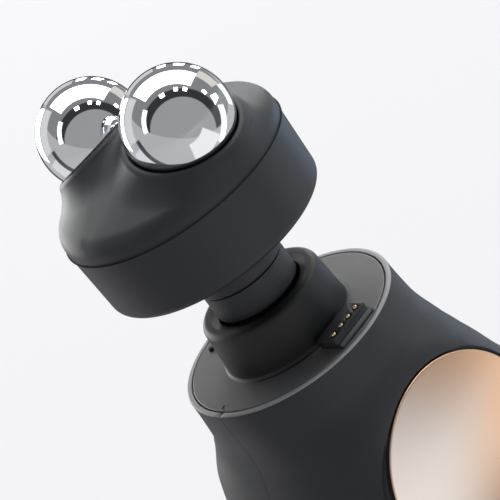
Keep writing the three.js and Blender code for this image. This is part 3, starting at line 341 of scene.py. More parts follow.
def soft_min(a, b, width):
    """The lesser of two arrays, with the corner between them rounded over a width."""
    share = np.clip(0.5 + 0.5 * (b - a) / width, 0, 1)
    return b * (1 - share) + a * share - width * share * (1 - share)


def body_radius(angle, z):
    """Radius of the body about the neck axis: an oval of growing squareness, drawn in at the front to a
    flat facet that leans by the disc's tilt."""
    along = np.sin(angle)
    share = z / BODY_H
    depth = np.where(along < 0, curve(FRONT_DEPTH, share), curve(BACK_DEPTH, share))
    t = np.clip((BODY_H - z) / SQUARING_H, 0, 1)
    power = ROUND_POWER + (SQUARE_POWER - ROUND_POWER) * t * t * (3 - 2 * t)
    oval = ((np.abs(np.cos(angle)) / curve(HALF_WIDTH, share)) ** power
            + (np.abs(along) / depth) ** power) ** (-1 / power)
    facet = -DISC_FOOT[1] + (DISC_FOOT[2] - z) * math.tan(DISC_TILT)
    front = along < FACET_SINE
    return np.where(front, soft_min(oval, facet / np.where(front, -along, 1), FACET_BLEND), oval)


def crossing(field, shape, far):
    """Halves the stretch from 0 to far until field, which is below zero near 0 and above it at far,
    is zero, at every place of an array at once."""
    low, high = np.zeros(shape), np.full(shape, far)
    for _ in range(HALVINGS):
        middle = (low + high) / 2
        inside = field(middle) < 0
        low, high = np.where(inside, middle, low), np.where(inside, high, middle)
    return (low + high) / 2


def unit(vectors):
    """Vectors of length one."""
    return vectors / np.linalg.norm(vectors, axis=-1, keepdims=True)


def body_skin(directions):
    """Where rays from the heart of the body leave its skin. A ray keeps its angle about the neck axis, so
    its distance t solves t sin = radius(angle, height + t cos)."""
    side = np.hypot(directions[..., 0], directions[..., 1])
    angle = np.arctan2(directions[..., 1], directions[..., 0])
    reach = crossing(lambda t: t * side - body_radius(angle, HEART[2] + t * directions[..., 2]),
                     side.shape, BODY_REACH)
    return HEART + reach[..., None] * directions


def between(start, end, shares):
    """Directions that turn evenly from start to end: a great circle, read at shares from 0 to 1."""
    turn = np.arccos(np.clip((start * end).sum(-1), -1, 1))[None, :, None]
    shares = shares[:, None, None]
    return (np.sin((1 - shares) * turn) * start + np.sin(shares * turn) * end) / np.sin(turn)


def rounded(points, radii, steps=5):
    """A profile with an arc in place of each corner that has a radius. The arc touches both sides, its
    middle lies on their bisector at radius / sin(half angle)."""
    points = [np.array(p, float) for p in points]
    out = []
    for i, (corner, radius) in enumerate(zip(points, radii)):
        if radius == 0:
            out.append(corner)
            continue
        a, b = unit(points[i - 1] - corner), unit(points[(i + 1) % len(points)] - corner)
        half = math.acos(np.clip(a @ b, -1, 1)) / 2
        centre = corner + unit(a + b) * radius / math.sin(half)
        side, far = a * radius / math.tan(half), b * radius / math.tan(half)
        sweep = math.pi - 2 * half
        for k in range(steps + 1):
            t = k / steps
            out.append(centre + (math.sin((1 - t) * sweep) * (corner + side - centre)
                                 + math.sin(t * sweep) * (corner + far - centre)) / math.sin(sweep))
    return np.array(out)


def guarded(profile):
    """A profile with a point added near each end of a long straight that borders a short one, so that smooth
    shading keeps the straight flat."""
    length = np.linalg.norm(np.diff(profile, axis=0), axis=1)
    out = [profile[0]]
    for i, size in enumerate(length):
        ahead = (profile[i + 1] - profile[i]) / size
        before, after = length[max(i - 1, 0)], length[min(i + 1, len(length) - 1)]
        if size > 3 * before:
            out.append(profile[i] + ahead * before)
        if size > 3 * after:
            out.append(profile[i + 1] - ahead * after)
        out.append(profile[i + 1])
    return np.array(out)


def rounded_mm(corners, steps=5):
    """A rounded profile from rows of [radius, height, rounding] in millimetres."""
    corners = np.array(corners, float) * MM
    return rounded(corners[:, :2], corners[:, 2], steps)


def quarter(steps):
    """Angles from 0 to a right angle."""
    return np.linspace(0, math.pi / 2, steps)


def carry(points, place):
    """Points of a frame that a 4 by 4 matrix places, in the body's own frame."""
    return points if place is None else points @ place[:3, :3].T + place[:3, 3]


def moved(x, y, z=0.0):
    """The matrix that moves by x, y and z."""
    place = np.eye(4)
    place[:3, 3] = x, y, z
    return place


# Meshes -------------------------------------------------------------------


class Shape:
    """Gathers grids of points into one mesh."""

    def __init__(self):
        self.points = []
        self.faces = []
        self.count = 0

    def grid(self, points, around=False, along=False, start=None, end=None, inner=None):
        """Quads between neighbours of a grid of rows and columns. around joins the last column to the
        first, along the last row to the first, start and end are poles that close the first and last row.
        The faces point away from inner."""
        rows, columns = points.shape[:2]
        at = self.count + np.arange(rows * columns).reshape(rows, columns)
        if around:
            at = np.concatenate([at, at[:, :1]], 1)
        if along:
            at = np.concatenate([at, at[:1]], 0)
        quads = np.stack([at[:-1, :-1], at[:-1, 1:], at[1:, 1:], at[1:, :-1]], -1).reshape(-1, 4)
        flat = [points.reshape(-1, 3)]
        fans = []
        for pole, row, turn in ((start, at[0], 1), (end, at[-1], -1)):
            if pole is not None:
                tip = np.full(len(row) - 1, self.count + sum(len(p) for p in flat))
                flat.append(np.array(pole, float).reshape(1, 3))
                fans.append(np.stack([tip, row[1:], row[:-1]][::turn], -1))
        flat = np.concatenate(flat)
        inner = flat.mean(0) if inner is None else inner
        size = 0
        for faces in [quads, *fans]:
            p = flat[faces - self.count] - inner
            normal = np.cross(p[:, 1] - p[:, 0], p[:, 2] - p[:, 0])
            if faces.shape[1] == 4:
                normal = normal + np.cross(p[:, 2] - p[:, 0], p[:, 3] - p[:, 0])
            size += (p.mean(1) * normal).sum()
        step = 1 if size > 0 else -1
        self.faces += [faces[:, ::step] for faces in [quads, *fans]]
        self.points.append(flat)
        self.count += len(flat)
        return self

    def turned(self, profile, sides=128, place=None):
        """A profile of [radius, height] turned about Z, then moved by a 4 by 4 matrix. Ends on the axis
        become poles, and a profile that stays off the axis is a closed ring."""
        line = guarded(np.array(profile, float))
        on_start, on_end = line[0, 0] < 1e-9, line[-1, 0] < 1e-9
        inside = line[1 if on_start else 0:-1 if on_end else None]
        angle = np.arange(sides) * 2 * math.pi / sides
        points = np.stack([inside[:, :1] * np.cos(angle), inside[:, :1] * np.sin(angle),
                           np.repeat(inside[:, 1:], sides, 1)], -1)
        start, end = [carry(np.array([0, 0, line[i, 1]]), place) if on else None
                      for i, on in ((0, on_start), (-1, on_end))]
        return self.grid(carry(points, place), True, not (on_start or on_end), start, end)

    def carried(self, outline, stations, frame_of):
        """An outline of [a, b] carried through stations, each an [inset, level], with its ends closed:
        the outline shrinks by the inset, and frame_of turns (a, b, level) into a place."""
        middle = outline.mean(0)
        rows = []
        for inset, level in stations:
            spread = outline - middle
            reach = np.abs(spread).max(0)
            flat = middle + spread * (1 - inset / reach)
            rows.append(frame_of(flat[:, 0], flat[:, 1], np.full(len(flat), level)))
        ends = [frame_of(*np.array([[middle[0]], [middle[1]], [stations[i][1]]]))[0] for i in (0, -1)]
        return self.grid(np.array(rows), around=True, start=ends[0], end=ends[1])

    def merged(self, name):
        """The mesh, with points that coincide made one and without faces of no area."""
        mesh = self.mesh(name)
        work = bmesh.new()
        work.from_mesh(mesh)
        bmesh.ops.remove_doubles(work, verts=work.verts, dist=2e-6)
        bmesh.ops.dissolve_degenerate(work, edges=work.edges, dist=1e-6)
        work.to_mesh(mesh)
        work.free()
        return mesh

    def mesh(self, name):
        """The mesh as it was gathered."""
        mesh = bpy.data.meshes.new(name)
        points = np.concatenate(self.points)
        corners = np.concatenate([f.ravel() for f in self.faces])
        sides = np.concatenate([np.full(len(f), f.shape[1]) for f in self.faces])
        mesh.vertices.add(len(points))
        mesh.vertices.foreach_set("co", points.astype(np.float32).ravel())
        mesh.loops.add(len(corners))
        mesh.loops.foreach_set("vertex_index", corners.astype(np.int32))
        mesh.polygons.add(len(sides))
        mesh.polygons.foreach_set("loop_start", (np.cumsum(sides) - sides).astype(np.int32))
        mesh.update(calc_edges=True)
        mesh.validate()
        return mesh


def linked(name, data):
    """A new object in the scene."""
    obj = bpy.data.objects.new(name, data)
    bpy.context.scene.collection.objects.link(obj)
    return obj


def shaded(mesh):
    """Shades a mesh smoothly, apart from edges where faces turn by more than CREASE."""
    mesh.polygons.foreach_set("use_smooth", np.ones(len(mesh.polygons), bool))
    mesh.set_sharp_from_angle(angle=CREASE)


def piece(name, shape, body, slot, nodes=(), merged=False):
    """Puts a shape into the scene as a piece that rides on a body, in the finish of a material slot."""
    obj = linked(name, shape.merged(name) if merged else shape.mesh(name))
    shaded(obj.data)
    obj.data.materials.append(finish(slot))
    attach(obj, body)
    if nodes:
        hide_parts(*nodes)
    return obj


def modified(obj, kind, **settings):
    """Works a modifier with some settings into a piece's mesh."""
    modifier = obj.modifiers.new(kind, kind)
    for key, value in settings.items():
        setattr(modifier, key, value)
    bpy.context.view_layer.update()
    result = bpy.data.meshes.new_from_object(obj.evaluated_get(bpy.context.evaluated_depsgraph_get()))
    obj.modifiers.clear()
    old, obj.data = obj.data, result
    bpy.data.meshes.remove(old)
    shaded(result)
    return obj


def walled(obj, thickness):
    """Gives an open skin a wall on its inner side."""
    return modified(obj, "SOLIDIFY", thickness=thickness, offset=-1)


def opened(obj, cutter):
    """Takes the volume of a closed shape out of a piece."""
    tool = linked("cutter", cutter.mesh("cutter"))
    modified(obj, "BOOLEAN", operation="DIFFERENCE", solver="EXACT", object=tool)
    mesh = tool.data
    bpy.data.objects.remove(tool)
    bpy.data.meshes.remove(mesh)
    return obj


def softened(obj, width, segments=3):
    """Rounds the sharp edges of a piece."""
    return modified(obj, "BEVEL", width=width, segments=segments, limit_method="ANGLE", angle_limit=BEVEL_FROM)


def rectangle(left, right, low, high, corner, steps=10):
    """Outline of a rectangle with quarter circles for corners."""
    turn = quarter(steps)
    corners = [(right - corner, high - corner, 0), (left + corner, high - corner, 1),
               (left + corner, low + corner, 2), (right - corner, low + corner, 3)]
    return np.concatenate([
        np.stack([x + corner * np.cos(turn + k * math.pi / 2), z + corner * np.sin(turn + k * math.pi / 2)], -1)
        for x, z, k in corners
    ])


def on_back(x, z, depth):
    """A place on the back of the body from an outline point and a depth along +Y."""
    return np.stack([x, depth, z], -1)


def edge_stations(low, high, radius, steps=5):
    """Stations of a slab with rounded edges: the inset follows a quarter circle at each end."""
    turn = quarter(steps)
    inset, rise = radius * (1 - np.sin(turn)), radius * (1 - np.cos(turn))
    return [*zip(inset, low + rise), *zip(inset[::-1], high - rise[::-1])]


def disc_place():
    """The matrix from the disc's own frame, with Z out of its face, to the body."""
    out = np.array([0, -math.cos(DISC_TILT), math.sin(DISC_TILT)])
    up = np.array([0, math.sin(DISC_TILT), math.cos(DISC_TILT)])
    place = np.eye(4)
    place[:3, 0], place[:3, 1], place[:3, 2], place[:3, 3] = np.cross(up, out), up, out, DISC_FOOT
    return place


def ball_place(side):
    """The matrix from a ball's own frame, with Z along its tilted axis, to the head. side is -1 in front."""
    place = np.array(Matrix.Rotation(-side * BALL_TILT, 4, "X"))
    place[:3, 3] = [0, side * BALL_Y, BALL_Z]
    return place


# Finishes -----------------------------------------------------------------


def operation(kind, reflected=False):
    """A method of Wire that adds one Math node. reflected puts the other value first."""

    def method(self, other):
        values = (other, self) if reflected else (self, other)
        return self.graph.node("ShaderNodeMath", {"operation": kind}, dict(enumerate(values)))

    return method


class Wire:
    """A socket that takes part in arithmetic: each operator adds one Math node. under gives 1 where the value
    is less than another, and at_least the greater of two values."""

    __add__, __radd__ = operation("ADD"), operation("ADD", True)
    __sub__, __rsub__ = operation("SUBTRACT"), operation("SUBTRACT", True)
    __mul__, __rmul__ = operation("MULTIPLY"), operation("MULTIPLY", True)
    __truediv__, __rtruediv__ = operation("DIVIDE"), operation("DIVIDE", True)
    __pow__, __rpow__ = operation("POWER"), operation("POWER", True)
    under, at_least = operation("LESS_THAN"), operation("MAXIMUM")

    def __init__(self, graph, socket):
        self.graph = graph
        self.socket = socket

    def step(self, low, high):
        """0 below low, 1 above high, and a smooth rise between."""
        return self.graph.node(
            "ShaderNodeMapRange", {"interpolation_type": "SMOOTHSTEP"},
            {"Value": self, "From Min": low, "From Max": high},
        )


class Graph:
    """The nodes of one material or of the world."""

    def __init__(self, tree):
        self.tree = tree
        tree.nodes.clear()

    def node(self, kind, settings=None, values=None, output=0):
        """Adds a node, makes its settings, fills its sockets with values or links, and hands back an output."""
        made = self.tree.nodes.new(kind)
        for key, value in (settings or {}).items():
            setattr(made, key, value)
        for key, value in (values or {}).items():
            if isinstance(value, Wire):
                self.tree.links.new(value.socket, made.inputs[key])
            else:
                made.inputs[key].default_value = value
        return Wire(self, made.outputs[output]) if made.outputs else made

    def place(self, scale=(1, 1, 1), move=(0, 0, 0), turn=(0, 0, 0)):
        """Object coordinates, moved, turned and scaled."""
        source = self.node("ShaderNodeTexCoord", output=3)
        return self.node("ShaderNodeMapping", {"vector_type": "TEXTURE"},
                         {"Vector": source, "Location": move, "Rotation": turn, "Scale": scale})

    def apart(self, vector):
        """The three parts of a vector."""
        first = self.node("ShaderNodeSeparateXYZ", None, {0: vector})
        return [Wire(self, output) for output in first.socket.node.outputs]

    def noise(self, size, detail=3, roughness=0.5, place=None):
        """Cloudy noise from 0 to 1, whose lumps measure about size metres."""
        return self.node("ShaderNodeTexNoise", None, {
            "Vector": place or self.place(), "Scale": 1 / size, "Detail": detail, "Roughness": roughness})

    def blend(self, share, a, b):
        """A colour that goes from a to b."""
        values = {0: share, 6: a if isinstance(a, Wire) else (*a, 1), 7: b if isinstance(b, Wire) else (*b, 1)}
        return self.node("ShaderNodeMix", {"data_type": "RGBA"}, values, output=2)

    def bump(self, height, distance, strength=1.0):
        """A normal that follows a height from 0 to 1 over a distance."""
        return self.node("ShaderNodeBump", None,
                         {"Height": height, "Distance": distance, "Strength": strength})

    def surface(self, **values):
        """The Principled surface, with its sockets by name, an underscore for each space."""
        sockets = {}
        for key, value in values.items():
            plain = isinstance(value, tuple) and len(value) == 3
            sockets[key.replace("_", " ")] = (*value, 1) if plain else value
        shader = self.node("ShaderNodeBsdfPrincipled", None, sockets)
        self.node("ShaderNodeOutputMaterial", None, {"Surface": shader})


def paint(name):
    """A new material and its empty graph."""
    made = bpy.data.materials.new(name)
    made.use_nodes = True
    return made, Graph(made.node_tree)


def soft_touch(g, look):
    """Soft-touch moulded plastic: a fine even grain, faint cloudy wear in its sheen, and a painted highlight: a
    paler band round the top of the platform's rim, where the rim's top catches light. The neck is painted
    darker, as painted shade under the head."""
    grain = g.noise(0.00022, 2, 0.6)
    cloud = g.noise(0.02, 3)
    dark = tuple(look.soft_black)
    skin = g.blend(cloud, dark, tuple(v * 1.25 for v in dark))
    x, y, z = g.apart(g.place())
    radius = (x * x + y * y) ** 0.5
    # Painted highlight: a paler band where the top of the platform's rim catches light
    rim = radius.step(*RIM_HIGHLIGHT_R) * z.step(*RIM_HIGHLIGHT_Z) * z.under(RIM_HIGHLIGHT_TOP)
    # Painted shade: the neck under the head is darkened to a share of the plastic's colour
    neck = radius.under(NECK_R) * z.under(NECK_TOP) * (1 - z.under(BODY_H))
    skin = g.blend(neck, skin, tuple(v * NECK_SHADE for v in dark))
    g.surface(Base_Color=g.blend(rim, skin, tuple(look.rim_highlight_grey)),
              Roughness=look.soft_roughness + (cloud - 0.5) * 0.08,
              Specular_IOR_Level=0.5, Normal=g.bump(grain, 0.00002, 0.35))


def satin_plate(g, look):
    """Painted platform plate: a satin grey with fine speckle, dark where the contact block stands up."""
    speckle = g.noise(0.0004, 3, 0.6)
    cloud = g.noise(0.012, 2)
    grey = tuple(look.plate_grey)
    top = g.blend(cloud, grey, tuple(v * 1.15 for v in grey))
    _, _, z = g.apart(g.place())
    g.surface(Base_Color=g.blend(z.step(*BLOCK_FROM), top, tuple(look.soft_black)),
              Roughness=0.42 + (speckle - 0.5) * 0.1, Normal=g.bump(speckle, 0.00001, 0.3))


def highlit_gold(g, look):
    """Anodised disc: rose gold with fine rings from turning, and a painted highlight that makes it paler
    towards the left and a middle height. Its rounded edge gets a darker painted line in place of the shaded gap
    and the light edge line there.
    """
    across, _, rise = g.apart(g.place(move=tuple(DISC_FOOT), turn=(-DISC_TILT, 0, 0)))
    radius = (across * across + rise * rise) ** 0.5
    ring = g.noise(0.00025, 2, 0.6, g.node("ShaderNodeCombineXYZ", None, {0: radius}))
    cloud = g.noise(0.02, 2)
    # Painted highlight: the disc pales towards its left and towards a middle height
    from_middle = (rise - PALE_MIDDLE).at_least(PALE_MIDDLE - rise)
    pale = (PALE_START - across * PALE_ACROSS - from_middle * PALE_RISE + (cloud - 0.5) * 0.1).step(0, 1)
    shade = g.blend(pale, tuple(look.gold), tuple(look.highlit_gold))
    # Painted edge line: a darker tone on the disc's rounded edge stands in for its shaded gap and light edge
    # line
    g.surface(Base_Color=g.blend(radius.step(*DISC_EDGE_R), shade, DISC_EDGE_PAINTED_LINE), Metallic=1.0,
              Roughness=look.gold_roughness + (ring - 0.5) * 0.05, Normal=g.bump(ring, 0.000004, 0.3))


def circuit_board(g, look):
    """Green solder mask with faint tracks."""
    place = g.place(turn=(math.pi / 2, 0, 0))
    tracks = g.node("ShaderNodeTexBrick", {"offset": 0.3},
                    {"Vector": place, "Scale": 300.0, "Mortar Size": 0.05}, output=1)
    g.surface(Base_Color=g.blend(tracks, (0.015, 0.10, 0.045), (0.03, 0.18, 0.08)),
              Roughness=0.35 + tracks * 0.1, Normal=g.bump(tracks, 0.00003, 0.4))


def clouded(size, dark, light, roughness, spread, detail=3, grain=0.5, stretch=(1, 1, 1), relief=None, **more):
    """A finish whose colour and roughness follow one noise, and its relief too where a depth and a strength
    are given."""

    def made(g, look):
        cloud = g.noise(size, detail, grain, g.place(scale=stretch))
        bump = {"Normal": g.bump(cloud, *relief)} if relief else {}
        g.surface(Base_Color=g.blend(cloud, dark, light), Roughness=roughness + cloud * spread, **bump, **more)

    return made


# In turn: soft plastic, painted plate, anodised disc, polished chrome with a faint haze, steel with drawing
# marks, zinc plated sheet, gold plating, matt rubber, a glossy panel under a clear coat, solder mask, shrunk
# film and natural nylon
FINISHES = {
    "soft_black": soft_touch,
    "plate_grey": satin_plate,
    "gold": highlit_gold,
    "chrome": clouded(0.006, (0.80, 0.81, 0.83), (0.86, 0.87, 0.89), 0.03, 0.025, Metallic=1.0),
    "steel": clouded(0.0003, (0.50, 0.51, 0.53), (0.62, 0.63, 0.65), 0.28, 0.1, grain=0.6, stretch=(1, 1, 12),
                     Metallic=1.0),
    "frame_metal": clouded(0.003, (0.42, 0.43, 0.45), (0.55, 0.56, 0.57), 0.35, 0.15, Metallic=1.0),
    "contact_gold": clouded(0.0006, (0.86, 0.62, 0.28), (0.95, 0.78, 0.48), 0.18, 0.08, detail=2, Metallic=1.0),
    "rubber": clouded(0.0003, (0.012, 0.012, 0.013), (0.022, 0.022, 0.023), 0.63, 0.1, grain=0.6,
                      relief=(0.00002, 0.4)),
    "gloss_black": clouded(0.01, (0.006, 0.006, 0.007), (0.010, 0.010, 0.011), 0.12, 0.04, detail=2,
                           Coat_Weight=0.6, Coat_Roughness=0.04),
    "circuit_board": circuit_board,
    "cell_wrap": clouded(0.002, (0.02, 0.11, 0.20), (0.03, 0.15, 0.27), 0.3, 0.1, stretch=(6, 1, 1),
                         relief=(0.00005, 0.4)),
    "nylon": clouded(0.004, (0.62, 0.61, 0.57), (0.70, 0.69, 0.65), 0.42, 0.1, relief=(0.00004, 0.3)),
}


def finish(slot):
    """The material of a slot, made the first time that it is asked for."""
    made = bpy.data.materials.get("finish_" + slot)
    if not made:
        made, graph = paint("finish_" + slot)
        FINISHES[slot](graph, bpy.context.scene.massager_looks)
    return made


# Settings -----------------------------------------------------------------


def length_setting(name, description, size):
    """A length that is shown in the panel, from its size in millimetres."""
    return FloatProperty(name=name, description=description, default=size * MM, unit="LENGTH", precision=5)


def colour_setting(name, description, default):
    """A colour that is shown in the panel."""
    return FloatVectorProperty(name=name, description=description, default=default, size=3, subtype="COLOR",
                               min=0, max=1)


class MassagerSizes(bpy.types.PropertyGroup):
    """Sizes of the edges and gaps that are worked into the surfaces."""

    seam: length_setting("Body seam", "Gap between the two body shells", 0.03)
    seam_edge: length_setting("Seam edge", "Radius of the edges beside the body seam", 0.05)
    rim_edge: length_setting("Rim edge", "Radius of the platform rim's outer edge", 0.35)
    rim_inner: length_setting("Rim inside", "Inner radius of the platform rim", 22.9)
    wall: length_setting("Skin wall", "Thickness given to the open skins", 0.5)
    disc_radius: length_setting("Disc radius", "Radius of the front disc", 21.2)
    disc_crown: length_setting("Disc crown", "How far the disc's middle stands above its edge", 0.9)
    disc_proud: length_setting("Disc edge height", "How far the disc's edge stands out", 0.25)
    ball_radius: length_setting("Ball radius", "Radius of the ball electrodes", 11)
    fillet: length_setting("Collar fillet", "Width of the fillet at the foot of each collar", 4)
    parting: length_setting("Head parting line", "Gap between the two halves of the head", 0.01)
    columns: IntProperty(name="Columns", description="Points along each side of a skin's border",
                         default=72, min=12, max=200)
    rows: IntProperty(name="Rows", description="Points from the inner to the outer border of a skin",
                      default=56, min=12, max=200)


class MassagerLooks(bpy.types.PropertyGroup):
    """Colours and gloss of the finishes."""

    soft_black: colour_setting("Soft black", "Colour of the soft-touch plastic", (0.022, 0.023, 0.026))
    soft_roughness: FloatProperty(name="Soft roughness", description="Roughness of the soft-touch plastic",
                                  default=0.5, subtype="FACTOR", min=0, max=1)
    plate_grey: colour_setting("Plate grey", "Colour of the platform plate", (0.12, 0.12, 0.122))
    # Painted highlight: the paler colour painted on the band round the platform's rim, where it catches light
    rim_highlight_grey: colour_setting("Rim grey", "Colour of the band round the platform", (0.40, 0.40, 0.41))
    gold: colour_setting("Gold", "Colour of the front disc's right, top and bottom", (0.84, 0.53, 0.34))
    # Painted highlight: the pale colour painted on the disc's left, a little above its middle
    highlit_gold: colour_setting("Pale gold", "Colour of the front disc's left, a little above its middle",
                              (0.97, 0.87, 0.79))
    gold_roughness: FloatProperty(name="Gold roughness", description="Roughness of the front disc",
                                  default=0.34, subtype="FACTOR", min=0, max=1)


class MassagerStage(bpy.types.PropertyGroup):
    """Floor, world and lamps."""

    floor: colour_setting("Floor", "Colour of the floor", (0.08, 0.08, 0.081))
    floor_glow: colour_setting("Floor glow", "Light of the floor as the camera sees it", (0.84, 0.84, 0.86))
    ambient: FloatProperty(name="Ambient", description="Strength of the world's light",
                           default=0.08, min=0, max=2)
    lamps: FloatProperty(name="Lamps", description="Factor on the power of every lamp", default=1.0, min=0)


# Pieces -------------------------------------------------------------------


def border(side, sizes):
    """The border of a shell's skin, in four stretches: the platform rim, one seam, the base and the other
    seam. Each point comes with its stretch: 0 rim, 1 seam, 2 base. side is -1 for the front shell."""
    count = sizes.columns
    gap = sizes.seam / 2
    ends = np.linspace(0, 1, count, endpoint=False)
    rim_z = BODY_H - sizes.rim_edge
    lean = gap / PLATFORM_R
    sweep = side * (lean + ends * (math.pi - 2 * lean))
    back = side * (math.pi - lean - ends * (math.pi - 2 * lean))
    down = rim_z + (SHELL_Z - rim_z) * ends
    up = np.clip(down[::-1] - (down[0] - down[1]), SHELL_Z, rim_z)

    def level(angle, z):
        reach = body_radius(angle, z)
        return np.stack([np.cos(angle) * reach, np.sin(angle) * reach, np.full(count, z)], -1)

    def upright(angle, z):
        reach = body_radius(np.full(count, angle), z)
        return np.stack([reach * math.cos(angle), np.full(count, side * gap), z], -1)

    stretches = [level(sweep, rim_z), upright(side * math.pi, down), level(back, SHELL_Z), upright(0, up)]
    return np.concatenate(stretches), np.repeat([0, 1, 2, 1], count)


def fanned(edge, middle):
    """Angles about a pocket's middle, from straight down, at which the columns that end on a border start.
    The columns of the base and of the rim are spread over wider fans, so that none crosses the next on
    its way to a corner."""
    turn = np.arctan2(edge[:, 0], middle - edge[:, 2])
    rim, base = np.abs(turn[[0, len(edge) // 2]])
    spread = np.interp(np.abs(turn), [0, base, rim, math.pi], [0, *FAN, math.pi])
    return np.sign(turn) * spread


def border_rows(edge, stretch, inward, along, sizes):
    """Rows that close a skin's border. On the rim they follow its rounded top and go down into the groove,
    on a seam they round the edge and go in, and on the base they round the edge and run to the foot."""
    r, e, inner = sizes.rim_edge, sizes.seam_edge, sizes.rim_inner
    groove = BODY_H - GROOVE_DEPTH
    turn = quarter(5)[1:]
    rim_path = [(PLATFORM_R - r + r * math.cos(t), BODY_H - r + r * math.sin(t)) for t in turn]
    rim_path += [(inner + RIM_SOFT, BODY_H), (inner + RIM_SOFT * 0.3, BODY_H - RIM_SOFT * 0.3),
                 (inner, BODY_H - RIM_SOFT), (inner, groove), (inner - GROOVE_SHELF, groove)]
    seam_path = [(-e * (1 - math.sin(t)), e * (1 - math.cos(t))) for t in turn]
    seam_path += [(s * MM, e + d * MM) for s, d in (FRONT_LAP if edge[0, 1] < 0 else BACK_LAP)]
    flat = edge * [1, 1, 0]
    size = np.linalg.norm(flat, axis=1, keepdims=True)
    angle = np.arctan2(edge[:, 1], edge[:, 0])
    recess = (body_radius(angle, np.zeros(len(edge))) * FOOT_SHARE + FIT)[:, None]
    base_path = [(size - inset * MM, SHELL_Z) for inset in BASE_INSETS]
    base_path += [((size - BASE_INSETS[-1] * MM + recess) / 2, SHELL_Z), (recess, SHELL_Z),
                  (recess, FOOT_T + FIT), (recess - 2 * MM, FOOT_T + FIT)]
    rows = []
    for (radius, z), (s, b), (reach, lift) in zip(rim_path, seam_path, base_path):
        on_rim = flat / size * radius + [0, 0, z]
        on_seam = edge + along * s + inward * b
        on_base = flat / size * reach + [0, 0, lift]
        rows.append(np.choose(stretch[:, None], [on_rim, on_seam, on_base]))
    return np.array(rows)


def shell_grid(side, sizes, opening, pocket):
    """A shell's skin as rows from its pocket to its border. opening is the pocket's lip on the skin, one
    point for each border point, and pocket the rows from its floor up to the lip."""
    edge, stretch = border(side, sizes)
    shares = np.append(np.linspace(0, 1, sizes.rows)[1:-1] ** 1.1, [SKIN_GUARD, 1])
    directions = between(unit(opening - HEART), unit(edge - HEART), shares)
    skin = body_skin(directions)
    last = skin[-1].copy()
    along = unit(last - skin[-2])
    inward = -unit(last * [1, 1, 0] + [0, 0, 1e-9])
    seam = (stretch == 1)[:, None]
    skin[-1] = np.where(seam, last - along * sizes.seam_edge, last)
    return np.concatenate([pocket, opening[None], skin, border_rows(last, stretch, inward, along, sizes)])


class MASSAGER_OT_front_shell(bpy.types.Operator):
    """Front shell: a skin from the disc's pocket to the rim, the seam and the base"""

    bl_idname = "massager.front_shell"
    bl_label = "Front shell"

    def execute(self, context):
        sizes = context.scene.massager_sizes
        place = disc_place()
        turn = fanned(border(-1, sizes)[0], DISC_FOOT[2])
        ring = np.stack([np.sin(turn) * place[0, 0], -np.cos(turn), np.zeros(len(turn))], -1)
        hole, lip = sizes.disc_radius + FIT, POCKET_LIP
        path = [(hole - POCKET_SHELF, -POCKET_DEPTH), (hole - lip, -POCKET_DEPTH), (hole, lip - POCKET_DEPTH)]
        path += [(hole + lip * (1 - math.cos(t)), -lip * (1 - math.sin(t))) for t in quarter(5)[:-1]]
        pocket = carry(np.array([ring * [r, r, 1] + [0, 0, z] for r, z in path]), place)
        opening = body_skin(unit(carry(ring * (hole + lip), place) - HEART))
        skin = Shape().grid(shell_grid(-1, sizes, opening, pocket), around=True, inner=HEART)
        walled(piece("front_shell_skin", skin, "body", "soft_black", ["front_shell"], merged=True), sizes.wall)
        return {"FINISHED"}


class MASSAGER_OT_back_shell(bpy.types.Operator):
    """Back shell: a skin from the control panel's pocket to the rim, the seam and the base"""

    bl_idname = "massager.back_shell"
    bl_label = "Back shell"

    def execute(self, context):
        sizes = context.scene.massager_sizes
        middle = np.array([0, 0, (PANEL_LOW + PANEL_TOP) / 2])
        turn = fanned(border(1, sizes)[0], middle[2])
        flat = np.stack([np.sin(turn), np.zeros(len(turn)), -np.cos(turn)], -1)

        def outline(grow):
            half = np.array([PANEL_HALF + grow, (PANEL_TOP - PANEL_LOW) / 2 + grow])
            corner = PANEL_CORNER + grow

            def field(t):
                q = np.abs(flat[:, [0, 2]] * t[:, None]) - half + corner
                return np.linalg.norm(np.maximum(q, 0), axis=1) + np.minimum(q.max(1), 0) - corner

            return middle + flat * crossing(field, len(flat), POCKET_REACH)[:, None]

        def row(grow, y):
            points = outline(grow)
            points[:, 1] = y
            return points

        lip = PANEL_LIP
        opening = outline(lip)
        x, z = opening[:, 0], opening[:, 2]
        opening[:, 1] = crossing(lambda y: np.hypot(x, y) - body_radius(np.arctan2(y, x), z),
                                 len(x), POCKET_REACH)
        rows = [row(-PANEL_SHELF, PANEL_FLOOR), row(-PANEL_BEND, PANEL_FLOOR), row(0, PANEL_FLOOR + PANEL_BEND)]
        rows += [row(lip * (1 - math.cos(t)), opening[:, 1] - lip * (1 - math.sin(t))) for t in quarter(5)[:-1]]
        skin = Shape().grid(shell_grid(1, sizes, opening, np.array(rows)), around=True, inner=HEART)
        shell = piece("back_shell_skin", skin, "body", "soft_black", ["back_shell"], merged=True)
        port = rectangle(-PORT_HALF - FIT, PORT_HALF + FIT, PORT_LOW - FIT, PORT_TOP + FIT, PORT_CORNER)
        opened(walled(shell, sizes.wall), Shape().carried(port, [(0, PORT_DEPTH), (0, PORT_OUT)], on_back))
        return {"FINISHED"}


class MASSAGER_OT_front_disc(bpy.types.Operator):
    """Front disc: a crowned face with a rounded edge"""

    bl_idname = "massager.front_disc"
    bl_label = "Front disc"

    def execute(self, context):
        sizes = context.scene.massager_sizes
        radius, edge, proud = sizes.disc_radius, DISC_EDGE, sizes.disc_proud
        share = np.linspace(0, 1, 40)
        crown = np.stack([(radius - edge) * share, proud + sizes.disc_crown * (1 - share ** 2)], -1)
        turn = quarter(6)[1:]
        side = np.stack([radius - edge + edge * np.sin(turn), proud - edge + edge * np.cos(turn)], -1)
        line = np.concatenate([crown, side, [[radius, -DISC_T], [0, -DISC_T]]])
        piece("front_disc_plate", Shape().turned(line, 192, disc_place()), "body", "gold", ["front_disc"])
        return {"FINISHED"}


